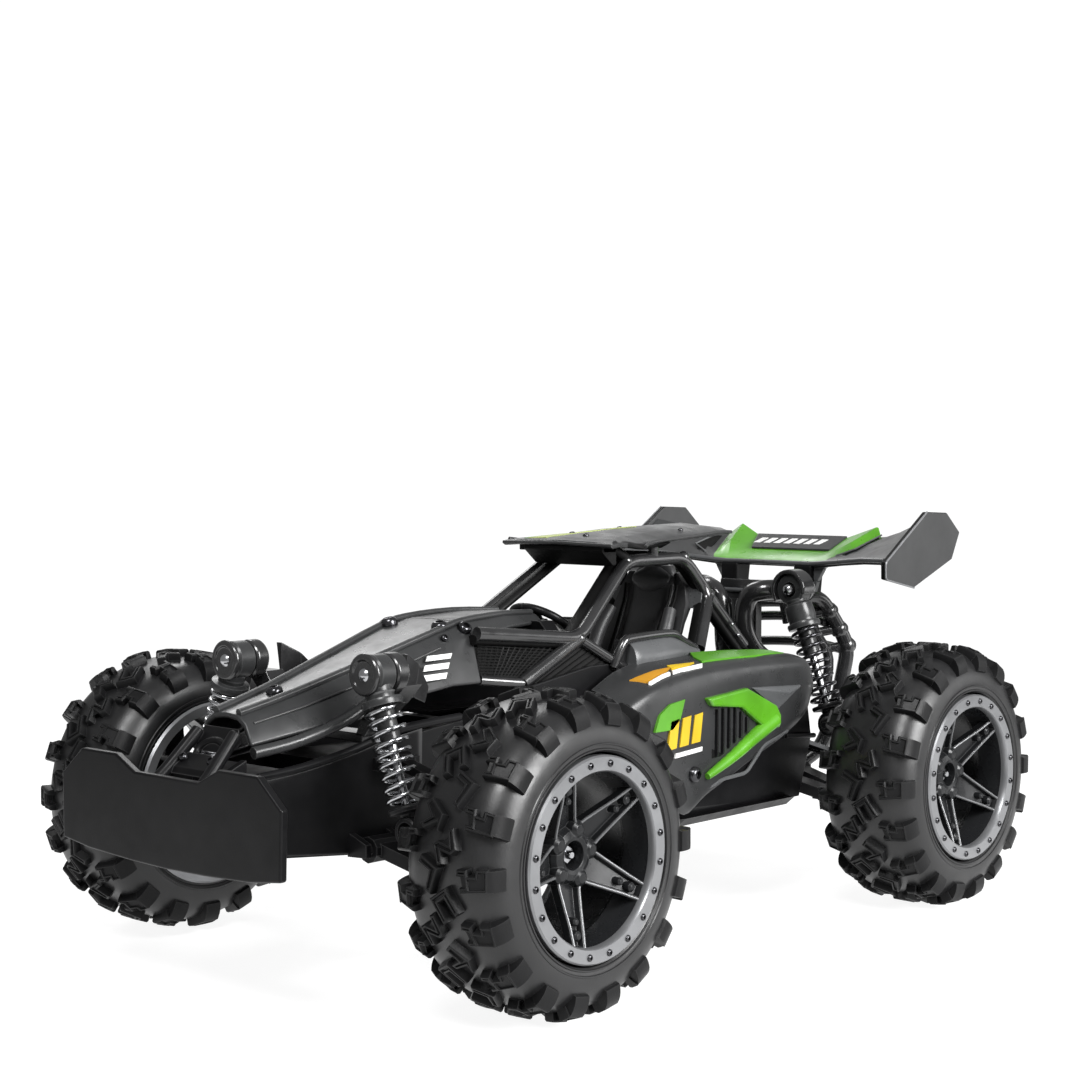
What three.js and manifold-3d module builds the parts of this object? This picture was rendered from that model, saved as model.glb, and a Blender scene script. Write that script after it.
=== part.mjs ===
// A toy off-road buggy, 1:18 class, as a bench assembly of separate pieces.
// Millimetres. The nose points along -Y, the car's left side is +X, and it stands on Z = 0.
import * as THREE from 'three';
import { mergeVertices } from 'three/addons/utils/BufferGeometryUtils.js';
import { ConvexGeometry } from 'three/addons/geometries/ConvexGeometry.js';
import Module from 'manifold-3d';

const wasm = await Module();
wasm.setup();

// Driving dimensions
const GAP = 0.35; // between pieces that rest on each other
const TYRE_RADIUS = 37.8;
const TYRE_WIDTH = 30.4;
const TRACK_HALF = 68.5; // centre plane of each wheel
const FRONT_AXLE_Y = -77;
const REAR_AXLE_Y = 88;
const RING_RADIUS = 23.7; // outer ring of the rim
const KINGPIN_X = 50;
const PIN_RADIUS = 1.3; // suspension hinge pins
const EYE_BORE = 1.7; // holes that run on them
const EYE_RADIUS = 3.3;
const TUB_FRONT_HALF = 15;
const TUB_MID_HALF = 22;
const TUB_BOTTOM = 27.5;
const REAR_PLATE = 2; // thickness of the plate that carries the gearbox
const POD_SIDE_X = 41;
const CAGE_TUBE = 2;
const STUB_RADIUS = 2.4;
const STUB_BORE = 2.8;

// Suspension pivots, as [x, z] on the left side
const FRONT_ARM = { inner: [19, 33], outer: [44, 27.5], y: FRONT_AXLE_Y };
const FRONT_UPPER = { inner: [19, 53], outer: [44, 47.5], y: FRONT_AXLE_Y };
const REAR_ARM = { inner: [18, 32], outer: [44, 27], y: REAR_AXLE_Y };
const FRONT_SHOCK = { top: [25.8, 76.7], foot: [38.8, 40.5], y: -91.7 };
const REAR_SHOCK = { top: [22, 89], foot: [36.5, 49], y: 87 };
const SHAFT_INNER = [21, 42.8];
const SHAFT_OUTER = [47, TYRE_RADIUS];

// Gear train: the pinion on the motor turns the gear on the rear axle
const GEAR_TEETH = 27;
const PINION_TEETH = 9;
const GEAR_MODULE = 0.8;
const GEAR_RADIUS = (GEAR_TEETH * GEAR_MODULE) / 2;
const PINION_RADIUS = (PINION_TEETH * GEAR_MODULE) / 2;
const GEAR_CENTRE = [REAR_AXLE_Y, SHAFT_INNER[1]];
const MOTOR_TILT = 0.15; // radians above level, seen from the gear
const MOTOR_CENTRE = [
  GEAR_CENTRE[0] - (GEAR_RADIUS + PINION_RADIUS) * Math.cos(MOTOR_TILT),
  GEAR_CENTRE[1] + (GEAR_RADIUS + PINION_RADIUS) * Math.sin(MOTOR_TILT),
];

// Shapes

function solid(geometry) {
  const bare = geometry.clone();
  bare.deleteAttribute('normal');
  bare.deleteAttribute('uv');
  const merged = mergeVertices(bare, 1e-4);
  const triangles = Array.from(merged.index.array);
  const at = (i) => new THREE.Vector3().fromBufferAttribute(merged.attributes.position, i);
  let volume = 0;
  for (let i = 0; i < triangles.length; i += 3) {
    volume += at(triangles[i]).dot(at(triangles[i + 1]).cross(at(triangles[i + 2])));
  }
  if (volume < 0) triangles.reverse(); // faces point out whichever way a profile was drawn
  return new wasm.Manifold(new wasm.Mesh({
    numProp: 3,
    vertProperties: new Float32Array(merged.attributes.position.array),
    triVerts: new Uint32Array(triangles),
  }));
}

function geometryOf(body) {
  const mesh = body.getMesh();
  const geometry = new THREE.BufferGeometry();
  geometry.setAttribute('position', new THREE.BufferAttribute(mesh.vertProperties, 3));
  geometry.setIndex(new THREE.BufferAttribute(mesh.triVerts, 1));
  return geometry;
}

function mirrored(body) {
  const geometry = geometryOf(body);
  geometry.scale(-1, 1, 1);
  return solid(geometry);
}

const join = (first, ...others) => others.reduce((sum, body) => sum.add(body), first);
const bothSides = (body) => body.add(mirrored(body));

function box([x0, x1], [y0, y1], [z0, z1]) {
  const geometry = new THREE.BoxGeometry(x1 - x0, y1 - y0, z1 - z0);
  geometry.translate((x0 + x1) / 2, (y0 + y1) / 2, (z0 + z1) / 2);
  return solid(geometry);
}

const hull = (points) => solid(new ConvexGeometry(points.map((p) => new THREE.Vector3(...p))));

// A convex body through cross-sections that are alike on both sides of the car's centre plane
const loft = (...sections) => hull(
  sections.flatMap(({ y, half }) => half.flatMap(([x, z]) => [[x, y, z], [-x, y, z]])),
);

// A profile of [radius, distance along the axis] turned round the line from a to b
function turned(profile, a, b, sides = 10) {
  const points = profile.map(([r, d]) => new THREE.Vector2(r, d));
  const geometry = new THREE.LatheGeometry(points, sides);
  const start = new THREE.Vector3(...a);
  const axis = new THREE.Vector3(...b).sub(start).normalize();
  geometry.applyQuaternion(new THREE.Quaternion().setFromUnitVectors(new THREE.Vector3(0, 1, 0), axis));
  geometry.translate(start.x, start.y, start.z);
  return solid(geometry);
}

const distance = (a, b) => new THREE.Vector3(...a).distanceTo(new THREE.Vector3(...b));
const rod = (a, b, radius, sides = 6) => {
  const length = distance(a, b);
  return turned([[0, 0], [radius, 0], [radius, length], [0, length]], a, b, sides);
};
const ring = (a, b, outer, inner, sides = 10) => {
  const length = distance(a, b);
  return turned([[inner, 0], [outer, 0], [outer, length], [inner, length], [inner, 0]], a, b, sides);
};

// A straight bar of rectangular section between two points
function bar(p, q, width, height) {
  const corners = [p, q].flatMap(([x, y, z]) => [-1, 1].flatMap((s) => [-1, 1].map(
    (t) => [x, y + (s * width) / 2, z + (t * height) / 2],
  )));
  return hull(corners);
}

// A chain of round tubes through the given points
const tubes = (points, radius = CAGE_TUBE) => join(
  ...points.slice(1).map((p, i) => rod(points[i], p, radius, 5)),
);

// The scene graph

const finishes = {
  shell: { color: 0x2b2c2e, roughness: 0.42, metalness: 0.1 },
  black: { color: 0x121314, roughness: 0.55, metalness: 0.0 },
  rubber: { color: 0x1e1f20, roughness: 0.85, metalness: 0.0 },
  rim: { color: 0x26282b, roughness: 0.35, metalness: 0.5 },
  green: { color: 0x6ab42e, roughness: 0.35, metalness: 0.0 },
  steel: { color: 0xb9bcc0, roughness: 0.25, metalness: 1.0 },
  board: { color: 0x1d5a34, roughness: 0.5, metalness: 0.1 },
  brass: { color: 0xb08d3c, roughness: 0.35, metalness: 0.9 },
  battery: { color: 0x2f5f9e, roughness: 0.4, metalness: 0.0 },
};
const materials = Object.fromEntries(
  Object.entries(finishes).map(([name, look]) => [name, new THREE.MeshStandardMaterial({ name, ...look })]),
);

const car = new THREE.Group();

function piece(name, body, finish, parent = car) {
  const mesh = new THREE.Mesh(geometryOf(body), materials[finish]);
  mesh.name = name;
  parent.add(mesh);
  return mesh;
}

// Chassis tub: a narrow front box, a wide middle and a plate under the gearbox

const HINGE_PIN_HALF = 12.6;

function hingeBrackets(arm, wallX, low, high) {
  const [x, z] = arm.inner;
  const pin = rod([x, arm.y - HINGE_PIN_HALF, z], [x, arm.y + HINGE_PIN_HALF, z], PIN_RADIUS);
  const posts = [-HINGE_PIN_HALF + 0.8, 0, HINGE_PIN_HALF - 0.8].map((dy) => hull([
    [wallX, low], [wallX, high], [x + 1.6, z - 1.6], [x + 1.6, z + 1.6],
  ].flatMap(([px, pz]) => [[px, arm.y + dy - 0.9, pz], [px, arm.y + dy + 0.9, pz]])));
  return join(pin, ...posts);
}

function chassisTub() {
  const wall = 2;
  const front = loft(
    { y: -118, half: [[TUB_FRONT_HALF - 3, 34], [TUB_FRONT_HALF - 2, 53]] },
    { y: -50, half: [[TUB_FRONT_HALF, TUB_BOTTOM], [TUB_FRONT_HALF, 61]] },
  );
  const frontBay = loft(
    { y: -108, half: [[TUB_FRONT_HALF - 4, 37], [TUB_FRONT_HALF - 4, 70]] },
    { y: -52, half: [[TUB_FRONT_HALF - wall, TUB_BOTTOM + wall], [TUB_FRONT_HALF - wall, 70]] },
  );
  const middle = loft(
    { y: -50, half: [[TUB_MID_HALF - 4, TUB_BOTTOM], [TUB_MID_HALF - 4, 58]] },
    { y: -40, half: [[TUB_MID_HALF, TUB_BOTTOM], [TUB_MID_HALF, 58]] },
    { y: 62, half: [[TUB_MID_HALF, TUB_BOTTOM], [TUB_MID_HALF, 58]] },
  );
  const middleBay = box([-TUB_MID_HALF + wall, TUB_MID_HALF - wall], [-47, 60], [TUB_BOTTOM + 3, 60]);
  const floor = loft(
    { y: 0, half: [[26, TUB_BOTTOM], [34, TUB_BOTTOM + 2.6]] },
    { y: 12, half: [[36, TUB_BOTTOM], [39, TUB_BOTTOM + 2.6]] },
    { y: 64, half: [[36, TUB_BOTTOM], [39, TUB_BOTTOM + 2.6]] },
  );
  const rearPlate = box([-14, 14], [60, 113], [TUB_BOTTOM, TUB_BOTTOM + REAR_PLATE]);
  const batteryHatch = box([-17, 17], [-8, 40], [TUB_BOTTOM - 1, TUB_BOTTOM + 4]);
  const rackSlot = box([-30, 30], [-64.4, -57.6], [40.4, 47.2]);
  const switchSlot = box([-3, 3], [-24, -14], [TUB_BOTTOM - 1, TUB_BOTTOM + 4]);
  const brackets = bothSides(join(
    hingeBrackets(FRONT_ARM, TUB_FRONT_HALF - 1, 31, 37),
    hingeBrackets(REAR_ARM, 13, TUB_BOTTOM + 0.2, TUB_BOTTOM + 1.8),
    rod([FRONT_UPPER.inner[0], FRONT_AXLE_Y - 4.2, 53], [FRONT_UPPER.inner[0], FRONT_AXLE_Y + 4.2, 53], PIN_RADIUS),
    box([TUB_FRONT_HALF - 1, 20.6], [FRONT_AXLE_Y - 5.4, FRONT_AXLE_Y - 3.6], [51.4, 54.6]),
    box([TUB_FRONT_HALF - 1, 20.6], [FRONT_AXLE_Y + 3.6, FRONT_AXLE_Y + 5.4], [51.4, 54.6]),
  ));
  return join(front, middle, floor, rearPlate)
    .subtract(join(frontBay, middleBay, batteryHatch, rackSlot, switchSlot))
    .add(brackets);
}
piece('chassis_tub', chassisTub(), 'black');

// Body shells

function noseCover() {
  const tip = { y: -116, half: [[4.5, 67.2], [10, 60.4]] };
  const brow = { y: -52, half: [[11, 84.6], [14.5, 81], [18, 70.8]] };
  const dash = { y: -13, half: [[5, 87], [8.6, 84.6], [12, 70]] };
  const outside = loft(tip, brow).add(loft(brow, dash));
  const inTip = { y: -112, half: [[2.6, 64], [7.4, 59]] };
  const inBrow = { y: -52, half: [[9.4, 82], [12.2, 79], [15.8, 60]] };
  const inDash = { y: -15.5, half: [[4, 84.8], [7, 82.4], [10, 60]] };
  return outside.subtract(loft(inTip, inBrow).add(loft(inBrow, inDash)));
}
piece('nose_cover', noseCover(), 'shell');

function sidePod() {
  const inside = TUB_MID_HALF + 3;
  const shell = hull([
    [inside, -5, 66], [POD_SIDE_X - 1, -9, 63.4], [POD_SIDE_X - 1, 68, 71.4],
    [inside + 2, 80, 70], [inside, 80, 70], [inside, 8, 66.5], [POD_SIDE_X - 0.6, 68, 50],
    [inside + 3, 80, 50], [inside, 80, 50], [inside, 13, 30.6], [inside, 66, 30.6],
    [POD_SIDE_X, 13, 30.6], [POD_SIDE_X, 65, 30.6], [POD_SIDE_X, 14, 42], [POD_SIDE_X + 0.5, 50, 56],
    [inside, -5, 56], [POD_SIDE_X - 2, -8, 56],
  ]);
  const hollow = hull([
    [inside - 2, 4, 61], [POD_SIDE_X - 3, 2, 60], [POD_SIDE_X - 3.5, 64, 67], [inside - 2, 64, 67],
    [inside - 2, 15, 33], [POD_SIDE_X - 2.5, 16, 33], [POD_SIDE_X - 2.5, 63, 33], [inside - 2, 63, 33],
  ]);
  const door = hull([
    [25, -2, 64], [30.5, -2, 64], [25.4, 0, 78.6], [30, 0, 78.6],
    [25, 33, 67], [30.5, 33, 67], [25.4, 22, 79.4], [29.4, 22, 79.4],
  ]);
  return shell.subtract(hollow).add(door);
}
piece('side_pod_left', sidePod(), 'shell');
piece('side_pod_right', mirrored(sidePod()), 'shell');

// Front bumper: a bent-ear plate on a bracket with two sloping rails

function frontBumper() {
  const front = -134;
  const outline = new THREE.Shape();
  const half = [[11.8, 54.1], [19.1, 57.7], [32.9, 57.7], [41, 51], [40.5, 35]];
  outline.moveTo(-half[0][0], half[0][1]);
  half.forEach(([x, z]) => outline.lineTo(x, z));
  outline.quadraticCurveTo(0, 30.5, -40.5, 35);
  half.slice(0, -1).reverse().forEach(([x, z]) => outline.lineTo(-x, z));
  const geometry = new THREE.ExtrudeGeometry(outline, { depth: 2.4, bevelEnabled: false, curveSegments: 8 });
  geometry.rotateX(Math.PI / 2);
  geometry.translate(0, front + 2.4, 0);
  const rails = bothSides(bar([7, -132, 51], [6, -118.6, 57], 3, 4));
  const neck = hull([
    [-9, -121.5, 50], [9, -121.5, 50], [-9, -118.4, 50], [9, -118.4, 50],
    [-7, -121.5, 62], [7, -121.5, 62], [-7, -118.4, 62], [7, -118.4, 62],
  ]);
  const foot = box([-10, 10], [-132.5, -118.4], [37, 42]);
  const web = box([-7, 7], [-121.4, -118.4], [41, 51]);
  return join(solid(geometry), rails, neck, foot, web);
}
piece('front_bumper', frontBumper(), 'black');

// Roll cage and roof

function rollCage() {
  const joint = [21.5, -12.6, 80];
  const screenTop = [14.3, 15.8, 99.6];
  const roofRear = [14.3, 42, 99.9];
  const hoopMid = [17, 50.8, 88.7];
  const side = join(
    tubes([[17.4, -48, 83.2], joint, screenTop, roofRear, hoopMid, [22.6, 38.6, 73.6]]),
    tubes([hoopMid, [21, 63, 73.3]]),
    tubes([joint, [22.6, 5.6, 71]]),
    tubes([joint, [20.6, -34, 69.6]], CAGE_TUBE * 0.8),
    tubes([[14.3, 28, 99.8], [14.3, 28, 104.2]], 1.6),
  );
  const across = [screenTop, roofRear].map((p) => rod(p, [-p[0], p[1], p[2]], CAGE_TUBE * 0.9));
  const behindSeat = tubes([hoopMid, [12, 56, 87], [-12, 56, 87], [-hoopMid[0], ...hoopMid.slice(1)]], CAGE_TUBE * 0.9);
  return join(bothSides(side), behindSeat, ...across);
}
piece('roll_cage', rollCage(), 'black');

function roofPanel() {
  const thickness = 3;
  const upper = (z) => [[z, 0], [z + thickness, 0.8]];
  const slab = (y, x, z) => ({ y, half: upper(z).map(([level, inset]) => [x - inset, level]) });
  return join(
    loft(slab(2.3, 21, 103.6), slab(20, 18, 104.2)),
    loft(slab(20, 18, 104.2), slab(38, 15.5, 105.6)),
    loft(slab(38, 15.5, 105.6), slab(67, 14.5, 105.4)),
  );
}
piece('roof_panel', roofPanel(), 'shell');

// Cockpit

function driverSeat() {
  const cushion = hull([
    [-11, 6, 58.6], [11, 6, 58.6], [-11, 6, 63], [11, 6, 63],
    [-11, 40, 58.6], [11, 40, 58.6], [-11, 40, 62], [11, 40, 62],
  ]);
  const back = loft(
    { y: 34, half: [[11, 60], [11, 64]] },
    { y: 41, half: [[11, 59], [9.5, 84]] },
    { y: 49, half: [[9, 91], [6.4, 97]] },
    { y: 44, half: [[9, 91], [6.4, 97]] },
  ).add(loft({ y: 44, half: [[14.6, 85], [13, 91], [4, 91]] }, { y: 47, half: [[14.6, 85], [13, 91], [4, 91]] }));
  const bolster = hull([
    [10, 8, 60], [13, 8, 60], [10.5, 8, 66], [12.5, 8, 66],
    [10, 38, 60], [13, 38, 60], [9.4, 33, 82], [12, 35, 82], [9.4, 42, 84], [12, 42, 84],
  ]);
  const scoop = box([-9, 9], [4, 33], [63, 90]);
  return join(cushion, back, bothSides(bolster)).subtract(scoop);
}
piece('driver_seat', driverSeat(), 'black');

function cockpitSteeringWheel() {
  const lean = 1; // radians that the wheel leans back from upright
  const radius = 8.7;
  const centre = [0, -3.6, 82.7];
  const rim = new THREE.TorusGeometry(radius, 1.1, 5, 16);
  rim.rotateX(lean - Math.PI / 2);
  const face = solid(rim.translate(...centre));
  const spoke = (angle) => rod(centre, [
    centre[0] + radius * Math.cos(angle),
    centre[1] - radius * Math.sin(angle) * Math.sin(lean),
    centre[2] + radius * Math.sin(angle) * Math.cos(lean),
  ], 0.9, 6);
  const column = rod(centre, [0, -12.1, 77.5], 1.6);
  return join(face, spoke(-0.4), spoke(Math.PI + 0.4), spoke(Math.PI / 2), column);
}
piece('cockpit_steering_wheel', cockpitSteeringWheel(), 'black');

// Rear wing, and the cage that carries it

function rearWing() {
  const skin = 1.8;
  const panel = (corners) => hull(corners.flatMap(([x, y, z]) => [[x, y, z], [x, y, z + skin]]));
  const centre = panel([[-18, 103, 95.6], [18, 103, 95.6], [18, 123.5, 102.6], [-18, 123.5, 102.6]]);
  const shoulder = panel([[17, 103, 95.6], [17, 123.5, 102.6], [28, 126, 104.4], [28, 101, 96.6]]);
  const tip = panel([[27, 101, 96.6], [27, 126, 104.4], [51, 122, 107.6], [51, 94, 98]]);
  const plate = hull([
    [114.5, 112.8], [126.2, 112.4], [134, 106.2], [129.5, 97.9], [107.4, 89.9], [91.5, 93], [91.4, 98],
  ].flatMap(([y, z]) => [[50.2, y, z], [52, y, z]]));
  return centre.add(bothSides(join(shoulder, tip, plate)));
}
piece('rear_wing', rearWing(), 'green');

function rearCage() {
  const top = [16, 109, 85];
  const bend = [20, 120, 66];
  const side = join(
    tubes([[16, 98.6, 85], top, bend, [15, 114.5, 36], [11, 108, 32.6]]),
    rod([16, 105.5, 85], [16, 105.5, 94.8], 2),
    rod([16, 105.5, 94.8], [16, 112, 97.4], 1),
  );
  const rung = (t) => {
    const p = new THREE.Vector3(...top).lerp(new THREE.Vector3(...bend), t);
    return rod([p.x, p.y, p.z], [-p.x, p.y, p.z], 1.5);
  };
  const foot = box([-12, 12], [105.5, 111], [TUB_BOTTOM + REAR_PLATE + GAP, 33]);
  return join(bothSides(side), rung(0.05), rung(0.5), rung(0.97), foot, rod([16, 105.5, 85], [-16, 105.5, 85], 1.6));
}
piece('rear_cage', rearCage(), 'black');

// Shock towers

function shockPost(shock, from, reach) {
  const [x, z] = shock.top;
  const tip = from + reach;
  const headStart = tip - Math.sign(reach) * 1.4;
  return join(
    rod([x, from, z], [x, tip, z], 1.8, 12),
    rod([x, headStart, z], [x, tip, z], 4.6, 14),
  );
}

function frontShockTower() {
  const arm = hull([
    [10, -85.5, 59.8], [14.6, -85.5, 59.8], [10, -79.5, 59.8], [14.6, -79.5, 59.8],
    [19.5, -85.5, 66], [24, -85.5, 66], [19.5, -79.5, 66], [24, -79.5, 66],
  ]);
  const block = box([20, 30], [-85.5, -79.5], [65, 80.6]);
  const base = box([-14.6, 14.6], [-85.5, -79.5], [58.9, 61]);
  return base.add(bothSides(join(arm, block, shockPost(FRONT_SHOCK, -85, -13))));
}
piece('front_shock_tower', frontShockTower(), 'black');

function rearShockTower() {
  const plate = hull([
    [-13, 93, 57.7], [13, 93, 57.7], [-13, 97, 57.7], [13, 97, 57.7],
    [-12, 93, 88], [12, 93, 88], [-12, 97, 88], [12, 97, 88],
  ]).subtract(box([-7, 7], [92, 98], [64, 82]));
  const arm = hull([
    [10, 93, 76], [10, 97, 76], [10, 93, 90], [10, 97, 90],
    [26.5, 93, 85], [26.5, 97, 85], [26, 93, 93], [26, 97, 93], [20, 93, 93], [20, 97, 93],
  ]);
  return plate.add(bothSides(arm.add(shockPost(REAR_SHOCK, 94, -12.5))));
}
piece('rear_shock_tower', rearShockTower(), 'black');

// Drive train

function gearShape(teeth, pitchRadius, towards, toothFirst) {
  const shape = new THREE.Shape();
  const pitch = (2 * Math.PI) / teeth;
  const first = Math.atan2(towards[0], -towards[1]) + (toothFirst ? 0 : pitch / 2);
  for (let i = 0; i < teeth; i += 1) {
    const middle = first + i * pitch;
    [[-0.25, -0.9], [-0.12, 0.5], [0.12, 0.5], [0.25, -0.9]].forEach(([turn, height], corner) => {
      const angle = middle + turn * pitch;
      const radius = pitchRadius + height * GEAR_MODULE;
      const point = [radius * Math.cos(angle), radius * Math.sin(angle)];
      if (i === 0 && corner === 0) shape.moveTo(...point);
      else shape.lineTo(...point);
    });
  }
  return shape;
}

function gearDisc(shape, [x0, x1], [y, z]) {
  const geometry = new THREE.ExtrudeGeometry(shape, { depth: x1 - x0, bevelEnabled: false });
  geometry.rotateY(Math.PI / 2);
  geometry.translate(x0, y, z);
  return solid(geometry);
}

const toMotor = [MOTOR_CENTRE[0] - GEAR_CENTRE[0], MOTOR_CENTRE[1] - GEAR_CENTRE[1]];
const toGear = toMotor.map((v) => -v);
const alongX = (x, [y, z]) => [x, y, z];
const CUP_END = SHAFT_INNER[0] - GAP;
const GEAR_SPAN = [3, 7];

function driveGear() {
  const cup = rod(alongX(14.6, GEAR_CENTRE), alongX(CUP_END, GEAR_CENTRE), 3.8, 12);
  return join(
    gearDisc(gearShape(GEAR_TEETH, GEAR_RADIUS, toMotor, true), GEAR_SPAN, GEAR_CENTRE),
    rod(alongX(-14.8, GEAR_CENTRE), alongX(14.8, GEAR_CENTRE), 2, 10),
    bothSides(cup),
  );
}
piece('drive_gear', driveGear(), 'black');

function motorPinion() {
  const span = [GEAR_SPAN[0] - 0.4, GEAR_SPAN[1] + 0.4];
  return gearDisc(gearShape(PINION_TEETH, PINION_RADIUS, toGear, false), span, MOTOR_CENTRE)
    .add(rod(alongX(-2, MOTOR_CENTRE), alongX(3, MOTOR_CENTRE), 1, 8));
}
piece('motor_pinion', motorPinion(), 'brass');

function driveMotor() {
  const can = rod(alongX(-22.5, MOTOR_CENTRE), alongX(-GAP, MOTOR_CENTRE), 9.4, 20);
  const shaftHole = rod(alongX(-3, MOTOR_CENTRE), alongX(1, MOTOR_CENTRE), 1.6, 8);
  return can.subtract(shaftHole);
}
piece('drive_motor', driveMotor(), 'steel');

const CASE_LOW = TUB_BOTTOM + REAR_PLATE + GAP;
const CASE_SIDE = 10;

function gearboxHousing() {
  const block = box([0, CASE_SIDE], [65, 104], [CASE_LOW, 57.3]);
  const axleTube = box([-12.6, 0.1], [84, 93], [CASE_LOW, 49]);
  const inside = [1.8, CASE_SIDE + 1];
  const room = (centre, radius, sides) => rod(
    alongX(inside[0], centre), alongX(inside[1], centre), radius, sides,
  );
  const gearRoom = room(GEAR_CENTRE, GEAR_RADIUS + 1, 24)
    .intersect(box([0, 16], [60, 110], [CASE_LOW + 0.9, 56]));
  const pinionRoom = room(MOTOR_CENTRE, PINION_RADIUS + 1.2, 14);
  const axleHole = rod(alongX(-14, GEAR_CENTRE), alongX(4, GEAR_CENTRE), 2.5, 10);
  const motorHole = rod(alongX(-2, MOTOR_CENTRE), alongX(4, MOTOR_CENTRE), 1.6, 8);
  return block.add(axleTube).subtract(join(gearRoom, pinionRoom, axleHole, motorHole));
}
piece('gearbox_housing', gearboxHousing(), 'black');

function gearboxCover() {
  const plate = box([CASE_SIDE + GAP, CASE_SIDE + 2.4], [66, 103], [CASE_LOW, 57.3]);
  return plate.subtract(rod(alongX(9, GEAR_CENTRE), alongX(14, GEAR_CENTRE), 2.5, 10));
}
piece('gearbox_cover', gearboxCover(), 'black');

// Electrics

piece('battery_pack', box([-16, 16], [-7, 39], [TUB_BOTTOM + 3, 44]), 'battery');
piece('battery_cover', box([-17 + GAP, 17 - GAP], [-8 + GAP, 40 - GAP], [TUB_BOTTOM + 0.2, TUB_BOTTOM + 2.6]), 'black');

function circuitBoard() {
  const chips = [[-9, 2, 8], [4, 10, 12], [-6, 26, 9]].map(
    ([x, y, size]) => box([x, x + size], [y, y + size], [48, 51]),
  );
  return join(box([-16, 16], [-4, 42], [46.5, 48.2]), ...chips);
}
piece('circuit_board', circuitBoard(), 'board');
piece('power_switch', box([-2.4, 2.4], [-23.4, -19.6], [TUB_BOTTOM - 0.6, TUB_BOTTOM + 5]), 'black');

function steeringServo() {
  const socket = box([-5, 5], [-70, -65.2], [41, 46.6]);
  return box([-9, 9], [-95, -69], [40, 55]).add(socket);
}
piece('steering_servo', steeringServo(), 'black');

// Steering rack and tie rods. The rods hang on the rack's ends and reach for the knuckles.

const STEER_ARM = 16; // from the kingpin back to the tie rod's pin
const STEER_PIN_Y = FRONT_AXLE_Y + STEER_ARM;
const RACK_Y = STEER_PIN_Y - 0.4; // halfway along the pin's arc
const RACK_Z = 43.8;
const RACK_END = 22;

function steeringLink() {
  const beam = box([-RACK_END + 3, RACK_END - 3], [RACK_Y - 2, RACK_Y + 2], [RACK_Z - 1.8, RACK_Z + 1.8]);
  const fork = join(
    box([RACK_END - 4, RACK_END + 2], [RACK_Y - 3, RACK_Y - 1.7], [RACK_Z - 1.8, RACK_Z + 1.8]),
    box([RACK_END - 4, RACK_END + 2], [RACK_Y + 1.7, RACK_Y + 3], [RACK_Z - 1.8, RACK_Z + 1.8]),
    rod([RACK_END, RACK_Y - 3, RACK_Z], [RACK_END, RACK_Y + 3, RACK_Z], 0.8),
  );
  return beam.add(bothSides(fork));
}
piece('steering_link', steeringLink(), 'black');

function tieRod() {
  const inner = [RACK_END, RACK_Y, RACK_Z];
  return join(
    ring([inner[0], RACK_Y - 1.3, RACK_Z], [inner[0], RACK_Y + 1.3, RACK_Z], 2.2, 1.15, 12),
    rod([RACK_END + 1.7, RACK_Y, RACK_Z], [KINGPIN_X - 3.4, RACK_Y, RACK_Z], 1.1),
    ring([KINGPIN_X, RACK_Y, RACK_Z - 1.1], [KINGPIN_X, RACK_Y, RACK_Z + 1.1], 4.1, 3, 12),
  );
}
piece('front_left_tie_rod', tieRod(), 'steel');
piece('front_right_tie_rod', mirrored(tieRod()), 'steel');

// Suspension arms

const EAR_FROM = 3.4; // each ear of a fork lies between these distances from the arm's centre plane
const EAR_TO = 6.2;

function outerFork(arm) {
  const [x, z] = arm.outer;
  const ear = (dy0, dy1) => join(
    rod([x, arm.y + dy0, z], [x, arm.y + dy1, z], EYE_RADIUS - 0.3, 8),
    hull([
      [x - 9, z - 0.6], [x - 9, z + 3.4], [x, z - 2.4], [x, z + 2.4],
    ].flatMap(([px, pz]) => [[px, arm.y + dy0, pz], [px, arm.y + dy1, pz]])),
  );
  return join(
    ear(EAR_FROM, EAR_TO),
    ear(-EAR_TO, -EAR_FROM),
    box([x - 11, x - 5.4], [arm.y - EAR_TO, arm.y + EAR_TO], [z - 0.4, z + 3.4]),
    rod([x, arm.y - EAR_TO, z], [x, arm.y + EAR_TO, z], PIN_RADIUS),
  );
}

function lowerArm(arm) {
  const [x, z] = arm.inner;
  const [outX, outZ] = arm.outer;
  const knuckle = (dy) => [outX - 8, arm.y + dy, outZ + 1.5];
  const eye = (dy0, dy1) => ring([x, arm.y + dy0, z], [x, arm.y + dy1, z], EYE_RADIUS, EYE_BORE);
  const legs = [-1, 1].map((s) => bar([x + 2.5, arm.y + s * 6.2, z], knuckle(s * 4), 6, 3.4));
  return join(eye(-10.6, -1.3), eye(1.3, 10.6), ...legs, outerFork(arm));
}

function frontLowerArm() {
  const [x, z] = FRONT_SHOCK.foot;
  const lug = hull([
    [35, -84.5, 29.5], [39, -84.5, 29], [35, -80, 30], [39, -80, 29],
    [x - 2.6, -88.4, z - 2], [x + 2.2, -88.4, z - 2], [x - 2.2, -88.4, z + 2], [x + 1.8, -88.4, z + 2],
    [x - 2.6, -86.2, z - 2], [x + 2.2, -86.2, z - 2], [x - 2.2, -86.2, z + 2], [x + 1.8, -86.2, z + 2],
  ]);
  const pin = rod([x, -87, z], [x, -95.4, z], 1.1);
  return join(lowerArm(FRONT_ARM), lug, pin);
}
piece('front_left_lower_arm', frontLowerArm(), 'black');
piece('front_right_lower_arm', mirrored(frontLowerArm()), 'black');
piece('rear_left_lower_arm', lowerArm(REAR_ARM), 'black');
piece('rear_right_lower_arm', mirrored(lowerArm(REAR_ARM)), 'black');

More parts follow.
